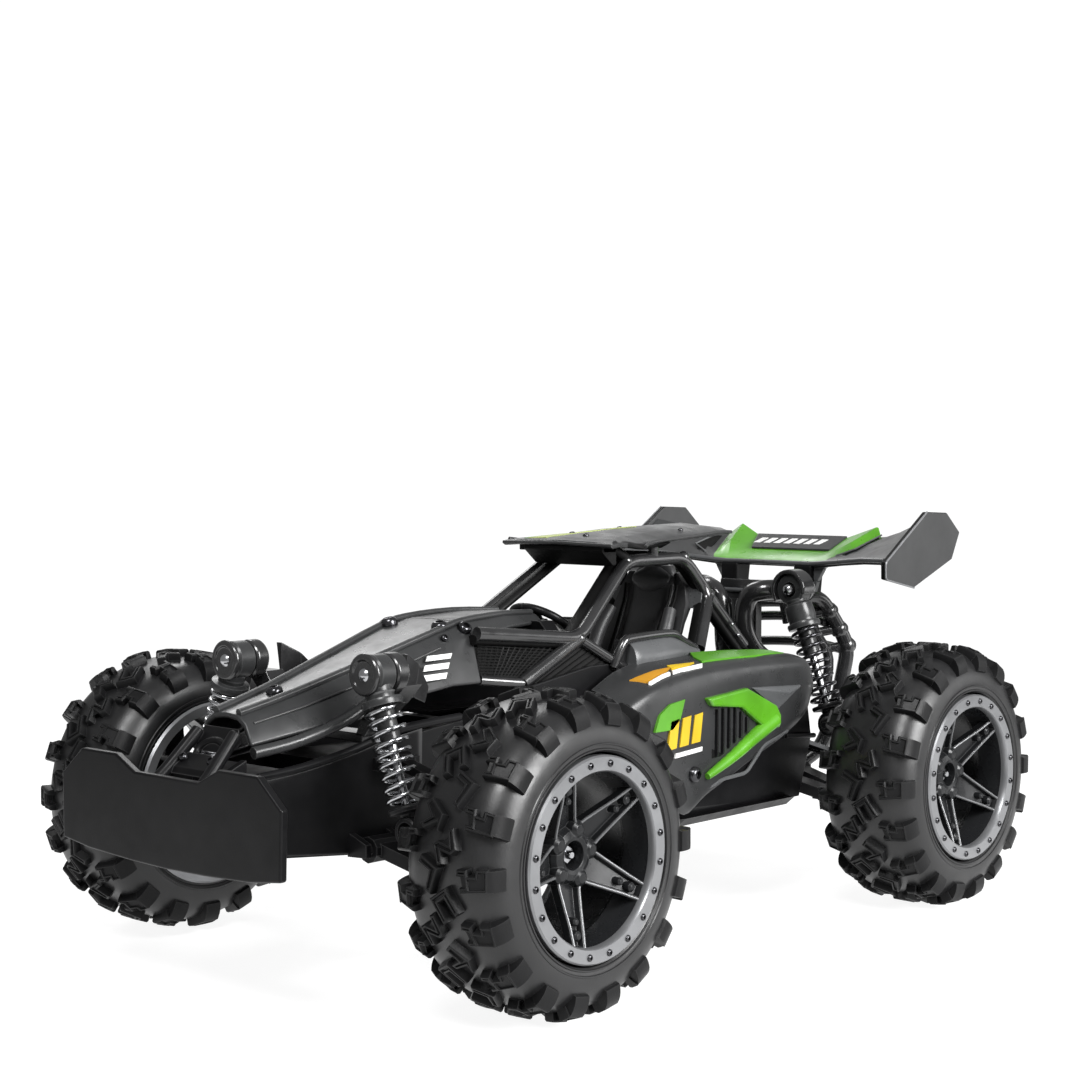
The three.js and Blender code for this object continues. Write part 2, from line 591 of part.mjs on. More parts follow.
function frontUpperArm() {
  const [x, z] = FRONT_UPPER.inner;
  const y = FRONT_AXLE_Y;
  const inner = ring([x, y - 3, z], [x, y + 3, z], EYE_RADIUS - 0.4, EYE_BORE);
  return join(inner, bar([x + 2.3, y, z], [FRONT_UPPER.outer[0] - 8, y, FRONT_UPPER.outer[1] + 1.5], 4, 2.4),
    outerFork(FRONT_UPPER));
}
piece('front_left_upper_arm', frontUpperArm(), 'black');
piece('front_right_upper_arm', mirrored(frontUpperArm()), 'black');

// Hub carriers stay upright between the arms, and the front ones hold a steering knuckle

const tongue = (x, y, z) => ring([x, y - 3, z], [x, y + 3, z], EYE_RADIUS, EYE_BORE);
const KNUCKLE_LOW = 31;
const KNUCKLE_HIGH = 44.6;

function frontCarrier() {
  const y = FRONT_AXLE_Y;
  const [x] = FRONT_ARM.outer;
  const lowerLug = box([x + 2.4, KINGPIN_X + 3.6], [y - 3, y + 3], [KNUCKLE_LOW - 5, KNUCKLE_LOW - 0.4]);
  const upperLug = box([x + 2.4, KINGPIN_X + 3.6], [y - 3, y + 3], [KNUCKLE_HIGH + 0.4, KNUCKLE_HIGH + 4.6]);
  const web = box([x - 0.2, x + 1.4], [y - 3, y + 3], [30, 45]).add(
    box([x + EYE_BORE + 0.3, x + 3], [y - 3, y + 3], [KNUCKLE_LOW - 4, KNUCKLE_LOW - 0.4]),
  );
  const pins = join(
    rod([KINGPIN_X, y, KNUCKLE_LOW - 1], [KINGPIN_X, y, KNUCKLE_LOW + 2.6], 1.5),
    rod([KINGPIN_X, y, KNUCKLE_HIGH - 2.6], [KINGPIN_X, y, KNUCKLE_HIGH + 1], 1.5),
  );
  return join(tongue(x, y, FRONT_ARM.outer[1]), tongue(x, y, FRONT_UPPER.outer[1]), web, lowerLug, upperLug, pins);
}
piece('front_left_hub_carrier', frontCarrier(), 'black');
piece('front_right_hub_carrier', mirrored(frontCarrier()), 'black');

function steeringKnuckle() {
  const y = FRONT_AXLE_Y;
  const post = rod([KINGPIN_X, y, KNUCKLE_LOW], [KINGPIN_X, y, KNUCKLE_HIGH], 4, 14);
  const pinHoles = join(
    rod([KINGPIN_X, y, KNUCKLE_LOW - 1], [KINGPIN_X, y, KNUCKLE_LOW + 3.2], 1.9),
    rod([KINGPIN_X, y, KNUCKLE_HIGH - 3.2], [KINGPIN_X, y, KNUCKLE_HIGH + 1], 1.9),
  );
  const spindle = rod([KINGPIN_X, y, TYRE_RADIUS], [66, y, TYRE_RADIUS], STUB_RADIUS, 12);
  const collar = rod([KINGPIN_X + 2, y, TYRE_RADIUS], [57, y, TYRE_RADIUS], 4.4, 14);
  const arm = hull([-2.4, 2.4].flatMap((dx) => [39, 41.4].flatMap((z) => [[KINGPIN_X + dx, y + 2, z],
    [KINGPIN_X + dx * 0.7, STEER_PIN_Y, z - 0.6]])));
  const pin = rod([KINGPIN_X, STEER_PIN_Y, 39], [KINGPIN_X, STEER_PIN_Y, 47], 1.1);
  const pad = rod([KINGPIN_X, STEER_PIN_Y, 38.4], [KINGPIN_X, STEER_PIN_Y, 40.8], 2.4);
  return join(post, spindle, collar, arm, pad, pin).subtract(pinHoles);
}
piece('front_left_knuckle', steeringKnuckle(), 'black');
piece('front_right_knuckle', mirrored(steeringKnuckle()), 'black');

function rearCarrier() {
  const y = REAR_AXLE_Y;
  const [x, z] = REAR_ARM.outer;
  const [footX, footZ] = REAR_SHOCK.foot;
  const hub = rod([x + 4, y, TYRE_RADIUS], [57, y, TYRE_RADIUS], 6.4, 18);
  const web = hull([
    [x - 1, y - 3, z + 2.4], [x + 5, y - 3, z + 1], [x - 1, y + 3, z + 2.4], [x + 5, y + 3, z + 1],
    [x + 4.2, y - 3, 35], [x + 8, y - 3, 35], [x + 4.2, y + 3, 35], [x + 8, y + 3, 35],
  ]);
  const horn = hull([
    [x + 4.2, y + 2, 42], [x + 8, y + 2, 42], [x + 4.2, y + 6, 42], [x + 8, y + 6, 42],
    [footX - 2.4, y + 3.6, footZ - 2.2], [footX + 2.4, y + 3.6, footZ - 2.2], [footX - 2, y + 3.6, footZ + 2],
    [footX - 2.4, y + 6, footZ - 2.2], [footX + 2.4, y + 6, footZ - 2.2], [footX - 2, y + 6, footZ + 2],
    [footX + 2, y + 3.6, footZ + 2.4], [footX + 2, y + 6, footZ + 2.4],
  ]);
  const pin = rod([footX, y + 4, footZ], [footX, y - 5.4, footZ], 1.1);
  const bore = rod([x, y, TYRE_RADIUS], [60, y, TYRE_RADIUS], STUB_BORE, 12);
  return join(tongue(x, y, z), web, hub, horn, pin).subtract(bore);
}
piece('rear_left_hub_carrier', rearCarrier(), 'black');
piece('rear_right_hub_carrier', mirrored(rearCarrier()), 'black');

// Half shafts run parallel to the rear arms, so they locate the carriers too

function halfShaft() {
  const y = REAR_AXLE_Y;
  const inner = new THREE.Vector3(SHAFT_INNER[0], y, SHAFT_INNER[1]);
  const outer = new THREE.Vector3(SHAFT_OUTER[0], y, SHAFT_OUTER[1]);
  const point = (t) => inner.clone().lerp(outer, t).toArray();
  return rod(point(0.07), point(0.93), 1.6, 10).add(rod(point(0.1), point(0.2), 2.2, 10));
}
piece('rear_left_half_shaft', halfShaft(), 'steel');
piece('rear_right_half_shaft', mirrored(halfShaft()), 'steel');

// Shocks: an upper eye and barrel, a rod with a lower eye, and a spring between two seats

const SEAT_RADIUS = 4.8;
const ROD_RADIUS = 1.1;
const BARREL_BORE = 1.5;

function shockParts(shock, barrel) {
  const top = [shock.top[0], shock.y, shock.top[1]];
  const foot = [shock.foot[0], shock.y, shock.foot[1]];
  const length = distance(top, foot);
  const lowSeat = length - 6;
  const body = turned([
    [0, 3.4], [2.4, 3.4], [2.4, 5.4], [barrel.sleeve, 5.4], [barrel.sleeve, barrel.seat], [SEAT_RADIUS, barrel.seat],
    [SEAT_RADIUS, barrel.seat + 1.2], [2.4, barrel.seat + 1.2], [2.4, barrel.end], [BARREL_BORE, barrel.end],
    [BARREL_BORE, 5.2], [0, 5.2],
  ], top, foot, 10);
  const eye = ring([top[0], top[1] - 3, top[2]], [top[0], top[1] + 3, top[2]], 4.5, 2.2);
  const shaft = turned([
    [0, barrel.rodTop], [ROD_RADIUS, barrel.rodTop], [ROD_RADIUS, lowSeat], [SEAT_RADIUS - 0.4, lowSeat],
    [SEAT_RADIUS - 0.4, lowSeat + 1.2], [1.4, lowSeat + 1.2], [1.4, length - 3], [0, length - 3],
  ], top, foot, 10);
  const lowerEye = ring([foot[0], foot[1] - 2.6, foot[2]], [foot[0], foot[1] + 2.6, foot[2]], 3.7, 2.6);
  const spring = turned([
    [3, barrel.seat + 1.2 + GAP], [4.6, barrel.seat + 1.2 + GAP], [4.6, lowSeat - GAP], [3, lowSeat - GAP],
    [3, barrel.seat + 1.2 + GAP],
  ], top, foot, 10);
  return { shock_body: body.add(eye), shock_rod: shaft.add(lowerEye), spring };
}

const shocks = {
  front: shockParts(FRONT_SHOCK, { sleeve: 3.4, seat: 7, end: 20, rodTop: 12 }),
  rear: shockParts(REAR_SHOCK, { sleeve: 4.2, seat: 13.6, end: 23, rodTop: 14 }),
};
const shockFinish = { shock_body: 'black', shock_rod: 'steel', spring: 'steel' };
Object.entries(shocks).forEach(([end, parts]) => {
  Object.entries(parts).forEach(([name, body]) => {
    piece(`${end}_left_${name}`, body, shockFinish[name]);
    piece(`${end}_right_${name}`, mirrored(body), shockFinish[name]);
  });
});

// Wheels, made round the X axis with the outer face towards +X

const LUGS = 12;
const CARCASS_RADIUS = TYRE_RADIUS - 2.4;
const BEAD_RADIUS = RING_RADIUS + 0.9;
const AXIS_START = [0, 0, 0];
const AXIS_END = [1, 0, 0];

function treadOutline() {
  const pitch = (2 * Math.PI) / LUGS;
  const outline = new THREE.Shape();
  for (let i = 0; i < LUGS; i += 1) {
    [[-0.38, CARCASS_RADIUS - 1], [-0.28, TYRE_RADIUS], [0.28, TYRE_RADIUS], [0.38, CARCASS_RADIUS - 1]].forEach(
      ([turn, reach], corner) => {
        const angle = (i + turn) * pitch;
        const radius = reach === TYRE_RADIUS ? reach / Math.cos(turn * pitch) : reach;
        const point = [radius * Math.cos(angle), radius * Math.sin(angle)];
        if (i === 0 && corner === 0) outline.moveTo(...point);
        else outline.lineTo(...point);
      },
    );
  }
  const hole = new THREE.Path();
  hole.absarc(0, 0, CARCASS_RADIUS - 1.8, 0, 2 * Math.PI, true);
  outline.holes.push(hole);
  return outline;
}

function tyre() {
  const half = TYRE_WIDTH / 2;
  const carcass = turned([
    [BEAD_RADIUS, -half + 1], [29, -half], [CARCASS_RADIUS - 2, -half + 2],
    [CARCASS_RADIUS, -half + 6], [CARCASS_RADIUS, half - 6], [CARCASS_RADIUS - 2, half - 2], [29, half],
    [BEAD_RADIUS, half - 1], [BEAD_RADIUS, half - 5], [CARCASS_RADIUS - 4, half - 7],
    [CARCASS_RADIUS - 4, -half + 7], [BEAD_RADIUS, -half + 5], [BEAD_RADIUS, -half + 1],
  ], AXIS_START, AXIS_END, LUGS * 2);
  const width = TYRE_WIDTH - 11.4;
  const tread = new THREE.ExtrudeGeometry(treadOutline(), { depth: width, bevelEnabled: false, curveSegments: LUGS });
  tread.translate(0, 0, -width / 2);
  tread.rotateY(Math.PI / 2);
  return carcass.add(solid(tread));
}

const SPOKES = 5;
const DISH_RADIUS = 20.4; // inside of the outer ring

function spokeStar() {
  const star = new THREE.Shape();
  for (let i = 0; i < SPOKES; i += 1) {
    [[-0.5, 8], [-0.2, DISH_RADIUS + 0.8], [0.2, DISH_RADIUS + 0.8]].forEach(([turn, radius], corner) => {
      const angle = ((i + turn) * 2 * Math.PI) / SPOKES;
      const point = [radius * Math.cos(angle), radius * Math.sin(angle)];
      if (i === 0 && corner === 0) star.moveTo(...point);
      else star.lineTo(...point);
    });
  }
  const geometry = new THREE.ExtrudeGeometry(star, { depth: 4, bevelEnabled: false });
  geometry.rotateY(Math.PI / 2);
  geometry.translate(1, 0, 0);
  return solid(geometry);
}

function rim(driven) {
  const face = TYRE_WIDTH / 2;
  const bed = BEAD_RADIUS - GAP;
  const barrel = turned([
    [DISH_RADIUS, face], [RING_RADIUS, face], [bed, face - 2], [bed, 8], [bed - 1, 5],
    [bed - 1, -8], [bed, -face - 0.4], [bed - 1.4, -face - 0.4], [bed - 2.6, -8], [bed - 2.6, 0],
    [DISH_RADIUS, 5.2], [DISH_RADIUS, face],
  ], AXIS_START, AXIS_END, 18);
  const hub = turned([[0, -9], [5.6, -9], [6.6, 4.6], [4.4, 7], [0, 7]], AXIS_START, AXIS_END, 12);
  const wheel = join(barrel, hub, spokeStar());
  if (driven) return wheel.add(rod([SHAFT_OUTER[0] + 1 - TRACK_HALF, 0, 0], [-8, 0, 0], STUB_RADIUS, 10));
  return wheel.subtract(rod([-10, 0, 0], [-1, 0, 0], STUB_BORE, 10));
}

const tyreBody = tyre();
const rims = { front: rim(false), rear: rim(true) };
[['front', FRONT_AXLE_Y], ['rear', REAR_AXLE_Y]].forEach(([end, y]) => {
  [['left', 1], ['right', -1]].forEach(([side, sign]) => {
    const wheel = new THREE.Group();
    wheel.position.set(sign * TRACK_HALF, y, TYRE_RADIUS);
    if (sign < 0) wheel.rotation.z = Math.PI;
    piece(`${end}_${side}_tyre`, tyreBody, 'rubber', wheel);
    piece(`${end}_${side}_rim`, rims[end], 'rim', wheel);
    car.add(wheel);
  });
});

export default car;
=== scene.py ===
"""The looks of a toy off-road buggy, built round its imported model.

Shapes are drawn in millimetres in the row frame: -Y is the nose, +X the car's left, +Z up.
They become metres when a mesh is made.
"""
import math

import bmesh
import bpy
from mathutils import Matrix, Vector


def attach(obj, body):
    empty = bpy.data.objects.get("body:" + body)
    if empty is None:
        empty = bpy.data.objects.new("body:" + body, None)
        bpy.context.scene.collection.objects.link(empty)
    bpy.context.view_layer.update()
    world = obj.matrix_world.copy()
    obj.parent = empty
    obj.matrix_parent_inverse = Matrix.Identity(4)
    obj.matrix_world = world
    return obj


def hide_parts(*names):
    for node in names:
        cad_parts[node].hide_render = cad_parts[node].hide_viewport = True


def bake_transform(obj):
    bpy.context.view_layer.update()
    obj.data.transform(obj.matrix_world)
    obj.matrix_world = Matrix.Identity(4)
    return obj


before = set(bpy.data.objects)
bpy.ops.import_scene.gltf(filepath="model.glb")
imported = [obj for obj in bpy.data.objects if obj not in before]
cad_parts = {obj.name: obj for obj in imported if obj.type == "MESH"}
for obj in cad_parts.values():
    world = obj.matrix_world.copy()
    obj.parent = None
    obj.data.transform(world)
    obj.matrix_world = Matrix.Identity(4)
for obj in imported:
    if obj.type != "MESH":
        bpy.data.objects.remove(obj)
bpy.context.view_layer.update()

MM = 0.001
UP = Vector((0, 0, 1))
scene = bpy.context.scene

# Driving sizes, shared with the model
TYRE_RADIUS = 37.8
TRACK_HALF = 68.5
AXLES = {"front": -77.0, "rear": 88.0}
SIDES = {"left": 1, "right": -1}
RING_RADIUS = 23.7
SHOCKS = {
    "front": {"top": (25.8, -91.7, 76.7), "foot": (38.8, -91.7, 40.5), "sleeve": 3.4, "seat": 7},
    "rear": {"top": (22, 87, 89), "foot": (36.5, 87, 49), "sleeve": 4.2, "seat": 11.2},
}


# Camera

def place_camera():
    azimuth, elevation, roll = (math.radians(a) for a in (42.015, 2.123, 0.2165))
    forward = Vector((-math.sin(azimuth) * math.cos(elevation), math.cos(azimuth) * math.cos(elevation),
                      -math.sin(elevation)))
    right = forward.cross(UP).normalized()
    up = right.cross(forward)
    tilted = right * math.cos(roll) + up * math.sin(roll)
    upright = -right * math.sin(roll) + up * math.cos(roll)
    camera = bpy.data.objects.new("camera", bpy.data.cameras.new("camera"))
    columns = Matrix((tilted, upright, -forward)).transposed().to_4x4()
    camera.matrix_world = Matrix.Translation((0.3724, -0.4179, 0.1264)) @ columns
    camera.data.lens = 66.576
    camera.data.sensor_width = 36
    camera.data.clip_start = 0.01
    scene.collection.objects.link(camera)
    scene.camera = camera


place_camera()


# Shapes. Each adds closed skin to a bmesh, in millimetres.

def grid_faces(bm, rows, closed, slot=0):
    count = len(rows[0])
    for a, b in zip(rows, rows[1:]):
        for i in range(count if closed else count - 1):
            j = (i + 1) % count
            bm.faces.new((a[i], a[j], b[j], b[i])).material_index = slot


def rings(bm, loops, slot=0):
    """A skin through loops that have as many points as each other, closed at both ends."""
    rows = [[bm.verts.new(p) for p in loop] for loop in loops]
    grid_faces(bm, rows, True, slot)
    bm.faces.new(rows[0][::-1]).material_index = slot
    bm.faces.new(rows[-1]).material_index = slot


def hull(bm, points, slot=0):
    verts = [bm.verts.new(p) for p in points]
    made = bmesh.ops.convex_hull(bm, input=verts, use_existing_faces=False)
    for item in made["geom"]:
        if isinstance(item, bmesh.types.BMFace):
            item.material_index = slot
    loose = {v for v in made["geom_interior"] + made["geom_unused"] if isinstance(v, bmesh.types.BMVert)}
    bmesh.ops.delete(bm, geom=list(loose), context="VERTS")


def box(bm, x, y, z):
    hull(bm, [(a, b, c) for a in x for b in y for c in z])


def facing(origin, normal, along=(0, 0, 1)):
    """A frame at origin whose Z is the normal and whose X leans towards along."""
    w = Vector(normal).normalized()
    v = w.cross(Vector(along)).normalized()
    u = v.cross(w)
    return Matrix.Translation(Vector(origin)) @ Matrix((u, v, w)).transposed().to_4x4()


def slab(bm, outline, place, low, high, edge=0, inset=0.0):
    """A flat outline of (u, v) points, from low to high along the frame's Z; edge is its sides' slot."""
    middle = sum((Vector(p) for p in outline), Vector((0, 0))) / len(outline)
    rows = []
    for level, shrink in ((low, 0.0), (high, inset)):
        row = []
        for p in outline:
            q = Vector(p)
            towards = middle - q
            q = q + towards.normalized() * min(shrink, towards.length * 0.9)
            row.append(bm.verts.new(place @ Vector((q.x, q.y, level))))
        rows.append(row)
    grid_faces(bm, rows, True, edge)
    bm.faces.new(rows[0][::-1])
    bm.faces.new(rows[1])


def lathe(bm, profile, origin, axis, sides=32, slot=0, closed=False, shape=None):
    """A profile of (radius, distance) turned round an axis; shape(ring, angle) scales a radius."""
    place = facing(origin, axis, (0, 0, 1) if abs(Vector(axis).normalized().z) < 0.9 else (1, 0, 0))
    rows = []
    for index, (radius, along) in enumerate(profile):
        if radius == 0:
            rows.append(bm.verts.new(place @ Vector((0, 0, along))))
            continue
        row = []
        for i in range(sides):
            angle = 2 * math.pi * i / sides
            reach = radius * (shape(index, angle) if shape else 1)
            row.append(bm.verts.new(place @ Vector((reach * math.cos(angle), reach * math.sin(angle),
                                                    along))))
        rows.append(row)
    if closed:
        rows.append(rows[0])
    for a, b in zip(rows, rows[1:]):
        for i in range(sides):
            j = (i + 1) % sides
            if isinstance(a, list) and isinstance(b, list):
                face = (a[i], a[j], b[j], b[i])
            elif isinstance(a, list):
                face = (a[i], a[j], b)
            else:
                face = (a, b[j], b[i])
            bm.faces.new(face).material_index = slot


def smooth(points, steps=6):
    """Points along a Catmull-Rom curve through the given ones."""
    source = [Vector(p) for p in points]
    last = len(source) - 1
    result = []
    for i in range(last):
        p0, p1, p2, p3 = (source[min(max(i + k, 0), last)] for k in (-1, 0, 1, 2))
        for step in range(steps):
            t = step / steps
            result.append(0.5 * (2 * p1 + (p2 - p0) * t + (2 * p0 - 5 * p1 + 4 * p2 - p3) * t ** 2
                                 + (3 * p1 - p0 - 3 * p2 + p3) * t ** 3))
    return result + [source[-1]]


def rounded(points, radius, steps=4):
    """The same path with its corners rounded."""
    path = [Vector(p) for p in points]
    result = [path[0]]
    for before, corner, after in zip(path, path[1:], path[2:]):
        back, ahead = before - corner, after - corner
        cut = min(radius, back.length * 0.45, ahead.length * 0.45)
        start, end = corner + back.normalized() * cut, corner + ahead.normalized() * cut
        for i in range(steps + 1):
            t = i / steps
            result.append(start.lerp(corner, t).lerp(corner.lerp(end, t), t))
    return result + [path[-1]]


def tube(bm, points, radius, sides=10, slot=0, flat=1.0):
    """A tube along a path; flat squeezes its section, and radius may be a function of 0 to 1."""
    path = [Vector(p) for p in points]
    tangents = [(b - a).normalized() for a, b in zip(path, path[1:])]
    tangents.append(tangents[-1])
    first = tangents[0]
    side = first.cross(UP if abs(first.z) < 0.9 else Vector((0, 1, 0))).normalized()
    loops = []
    for i, p in enumerate(path):
        tangent = (tangents[i] + tangents[max(i - 1, 0)]).normalized()
        side = (side - tangent * side.dot(tangent)).normalized()
        other = tangent.cross(side)
        size = radius(i / (len(path) - 1)) if callable(radius) else radius
        turn = math.pi / sides
        loops.append([p + side * size * math.cos(2 * turn * k + turn) * flat
                      + other * size * math.sin(2 * turn * k + turn) for k in range(sides)])
    rings(bm, loops, slot)


def shell(bm, rows, thickness, inside):
    """A skin of even thickness under a grid of points; inside is a point that it surrounds."""
    points = [[Vector(p) for p in row] for row in rows]
    high, wide = len(points), len(points[0])
    inner = []
    for i in range(high):
        row = []
        for j in range(wide):
            down = points[min(i + 1, high - 1)][j] - points[max(i - 1, 0)][j]
            across = points[i][min(j + 1, wide - 1)] - points[i][max(j - 1, 0)]
            normal = down.cross(across).normalized()
            if normal.dot(points[i][j] - Vector(inside)) < 0:
                normal = -normal
            row.append(points[i][j] - normal * thickness)
        inner.append(row)
    outer_verts = [[bm.verts.new(p) for p in row] for row in points]
    inner_verts = [[bm.verts.new(p) for p in row] for row in inner]
    grid_faces(bm, outer_verts, False)
    grid_faces(bm, [row[::-1] for row in inner_verts], False)
    outline = [(0, j) for j in range(wide)] + [(i, wide - 1) for i in range(1, high)]
    outline += [(high - 1, j) for j in range(wide - 2, -1, -1)] + [(i, 0) for i in range(high - 2, 0, -1)]
    for a, b in zip(outline, outline[1:] + outline[:1]):
        bm.faces.new((outer_verts[b[0]][b[1]], outer_verts[a[0]][a[1]], inner_verts[a[0]][a[1]],
                      inner_verts[b[0]][b[1]]))


def screw(bm, at, normal, radius=2.0, sides=24):
    """A domed screw head with a hexagonal socket."""
    def hexagon(index, angle):
        if index < 5:
            return 1
        return 1 / math.cos((angle + math.pi / 6) % (math.pi / 3) - math.pi / 6)
    lathe(bm, [(0, -radius * 0.3), (radius, -radius * 0.3), (radius, radius * 0.12),
               (radius * 0.88, radius * 0.42), (radius * 0.62, radius * 0.6), (radius * 0.46, radius * 0.62),
               (radius * 0.42, radius * 0.15), (0, radius * 0.1)], at, normal, sides, shape=hexagon)


def mirror(bm):
    """Adds the right half to what has been drawn on the left."""
    copied = bmesh.ops.duplicate(bm, geom=bm.verts[:] + bm.edges[:] + bm.faces[:])["geom"]
    bmesh.ops.scale(bm, vec=(-1, 1, 1), verts=[v for v in copied if isinstance(v, bmesh.types.BMVert)])


def prism(bm, xs, outline):
    """A block between two places on X, from an outline of (y, z)."""
    hull(bm, [(x, y, z) for x in xs for y, z in outline])


def circle(count, closed=False):
    """Angles once round, with the first one again at the end if closed."""
    return [2 * math.pi * k / count for k in range(count + closed)]


# Objects

def finished(name, bm, *finishes):
    bmesh.ops.recalc_face_normals(bm, faces=bm.faces)
    mesh = bpy.data.meshes.new(name)
    bm.to_mesh(mesh)
    bm.free()
    mesh.transform(Matrix.Scale(MM, 4))
    for finish in finishes:
        mesh.materials.append(finish)
    return mesh


def make(name, bm, *finishes, **how):
    """Turns a bmesh into a piece that rides on a body."""
    dress(name, finished(name, bm, *finishes), **how)


def pair(name, bm, *finishes, stands_for=None, **how):
    """A left piece, and its mirror image on the right."""
    right = bm.copy()
    bmesh.ops.scale(right, vec=(-1, 1, 1), verts=right.verts)
    for side, half in (("left", bm), ("right", right)):
        nodes = [f"{stands_for}_{side}"] if stands_for else ()
        make(f"{name}_{side}", half, *finishes, stands_for=nodes, **how)


def dress(name, mesh, body="chassis", stands_for=(), slot=None, bevel=0.0, segments=2, sharp=38, place=None):
    piece = bpy.data.objects.new(name, mesh)
    scene.collection.objects.link(piece)
    mesh.shade_smooth()
    mesh.set_sharp_from_angle(angle=math.radians(sharp))
    if place is not None:
        piece.matrix_world = place
    if bevel:
        soften(piece, bevel, segments)
    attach(piece, body)
    if stands_for:
        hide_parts(*stands_for)


def soften(piece, width, segments=2):
    bevel = piece.modifiers.new("edges", "BEVEL")
    bevel.width = width * MM
    bevel.segments = segments
    bevel.limit_method = "ANGLE"
    bevel.angle_limit = math.radians(32)
    bevel.harden_normals = True
    bevel.miter_outer = "MITER_ARC"


# Materials

def look(name, colour, roughness, metallic=0.0, grain=0.0, grain_size=0.6, mottle=0.12, edge_highlight=0.0, coat=0.0,
         specular=0.5):
    """A moulded or metal surface: uneven colour and gloss, fine grain, and edges painted paler as a
    highlight.
    """
    material = bpy.data.materials.new(name)
    material.use_nodes = True
    nodes, links = material.node_tree.nodes, material.node_tree.links
    surface = nodes["Principled BSDF"]
    surface.inputs["Metallic"].default_value = metallic
    surface.inputs["Specular IOR Level"].default_value = specular
    surface.inputs["Coat Weight"].default_value = coat
    surface.inputs["Coat Roughness"].default_value = 0.15
    place = nodes.new("ShaderNodeTexCoord")

    def noise(size, detail=4.0):
        node = nodes.new("ShaderNodeTexNoise")
        node.inputs["Scale"].default_value = 1 / (size * MM)
        node.inputs["Detail"].default_value = detail
        links.new(place.outputs["Object"], node.inputs["Vector"])
        return node.outputs["Fac"]

    def spread(source, low, high, start=0.3, end=0.7):
        node = nodes.new("ShaderNodeMapRange")
        node.inputs["From Min"].default_value = start
        node.inputs["From Max"].default_value = end
        node.inputs["To Min"].default_value = low
        node.inputs["To Max"].default_value = high
        links.new(source, node.inputs["Value"])
        return node.outputs["Result"]

    def blend(amount, first, second):
        node = nodes.new("ShaderNodeMix")
        node.data_type = "RGBA"
        links.new(amount, node.inputs["Factor"])
        for socket, value in ((node.inputs["A"], first), (node.inputs["B"], second)):
            if isinstance(value, tuple):
                socket.default_value = (*value, 1)
            else:
                links.new(value, socket)
        return node.outputs["Result"]

    broad = noise(14)
    dark = tuple(c * (1 - mottle) for c in colour)
    light = tuple(min(c * (1 + mottle) + 0.002, 1) for c in colour)
    tone = blend(spread(broad, 0, 1), dark, light)
    # Painted highlight: where the bevel normal turns away from the true normal, at the edges, the colour is
    # made paler.
    if edge_highlight:
        geometry = nodes.new("ShaderNodeNewGeometry")
        turned = nodes.new("ShaderNodeBevel")
        turned.samples = 4
        turned.inputs["Radius"].default_value = 0.35 * MM
        agreement = nodes.new("ShaderNodeVectorMath")
        agreement.operation = "DOT_PRODUCT"
        links.new(geometry.outputs["Normal"], agreement.inputs[0])
        links.new(turned.outputs["Normal"], agreement.inputs[1])
        edge = spread(agreement.outputs["Value"], edge_highlight, 0, 0.86, 0.995)
        tone = blend(edge, tone, tuple(min(c * 2.2 + 0.08, 1) for c in colour))
    links.new(tone, surface.inputs["Base Color"])
    links.new(spread(noise(5), roughness - 0.06, roughness + 0.08), surface.inputs["Roughness"])
    if grain:
        bump = nodes.new("ShaderNodeBump")
        bump.inputs["Strength"].default_value = 0.6
        bump.inputs["Distance"].default_value = grain * MM
        links.new(noise(grain_size, 2.0), bump.inputs["Height"])
        links.new(bump.outputs["Normal"], surface.inputs["Normal"])
    return material


# The edge setting of each look below paints its edges paler: a painted highlight.
SHELL = look("shell_charcoal", (0.02, 0.0205, 0.021), 0.3, grain=0.015, grain_size=0.35, edge_highlight=0.5,
             specular=0.4)
PLATE = look("plate_grey", (0.028, 0.0285, 0.029), 0.36, grain=0.012, grain_size=0.35, edge_highlight=0.3,
             specular=0.35)
SHELL_LIGHT = look("shell_grey", (0.062, 0.064, 0.066), 0.3, grain=0.015, grain_size=0.35, edge_highlight=0.35,
                   specular=0.4)
BLACK = look("frame_black", (0.004, 0.004, 0.0044), 0.34, grain=0.03, grain_size=0.4, edge_highlight=0.5, specular=0.13)
DEEP = look("deep_black", (0.003, 0.003, 0.003), 0.5, grain=0.03, specular=0.12)
CAGE = look("cage_satin", (0.012, 0.012, 0.0125), 0.2, grain=0.006, edge_highlight=0.3, specular=0.8)
RUBBER = look("tyre_rubber", (0.006, 0.006, 0.0064), 0.36, grain=0.03, grain_size=0.5, mottle=0.25,
              specular=0.5)
TREAD = look("tread_rubber", (0.004, 0.004, 0.0043), 0.42, grain=0.05, grain_size=0.5, mottle=0.3, edge_highlight=0.14,
             specular=0.16)
# Paler metal for the spoke crests: a painted highlight.
RIB_HIGHLIGHT = look("rim_rib_painted_highlight", (0.13, 0.132, 0.136), 0.26, metallic=0.4, grain=0.01, specular=0.5)
RIM = look("rim_gunmetal", (0.009, 0.0094, 0.0102), 0.26, metallic=0.1, grain=0.01, edge_highlight=0.5, specular=0.26)
RING = look("ring_silver", (0.22, 0.223, 0.23), 0.34, metallic=0.7, grain=0.015, grain_size=0.3)
STEEL = look("steel_bright", (0.46, 0.465, 0.48), 0.18, metallic=1.0, grain=0.008)
SCREW = look("screw_dark", (0.06, 0.06, 0.064), 0.2, metallic=0.9, grain=0.01)
GREEN = look("paint_green", (0.06, 0.22, 0.008), 0.3, grain=0.008, mottle=0.22, coat=0.2)
PALE = look("vinyl_pale_green", (0.3, 0.36, 0.06), 0.35, grain=0.006, mottle=0.25)
YELLOW = look("vinyl_yellow", (0.43, 0.29, 0.01), 0.35, grain=0.006)
ORANGE = look("vinyl_orange", (0.34, 0.16, 0.008), 0.35, grain=0.006)
WHITE = look("vinyl_white", (0.62, 0.62, 0.61), 0.35, grain=0.006)
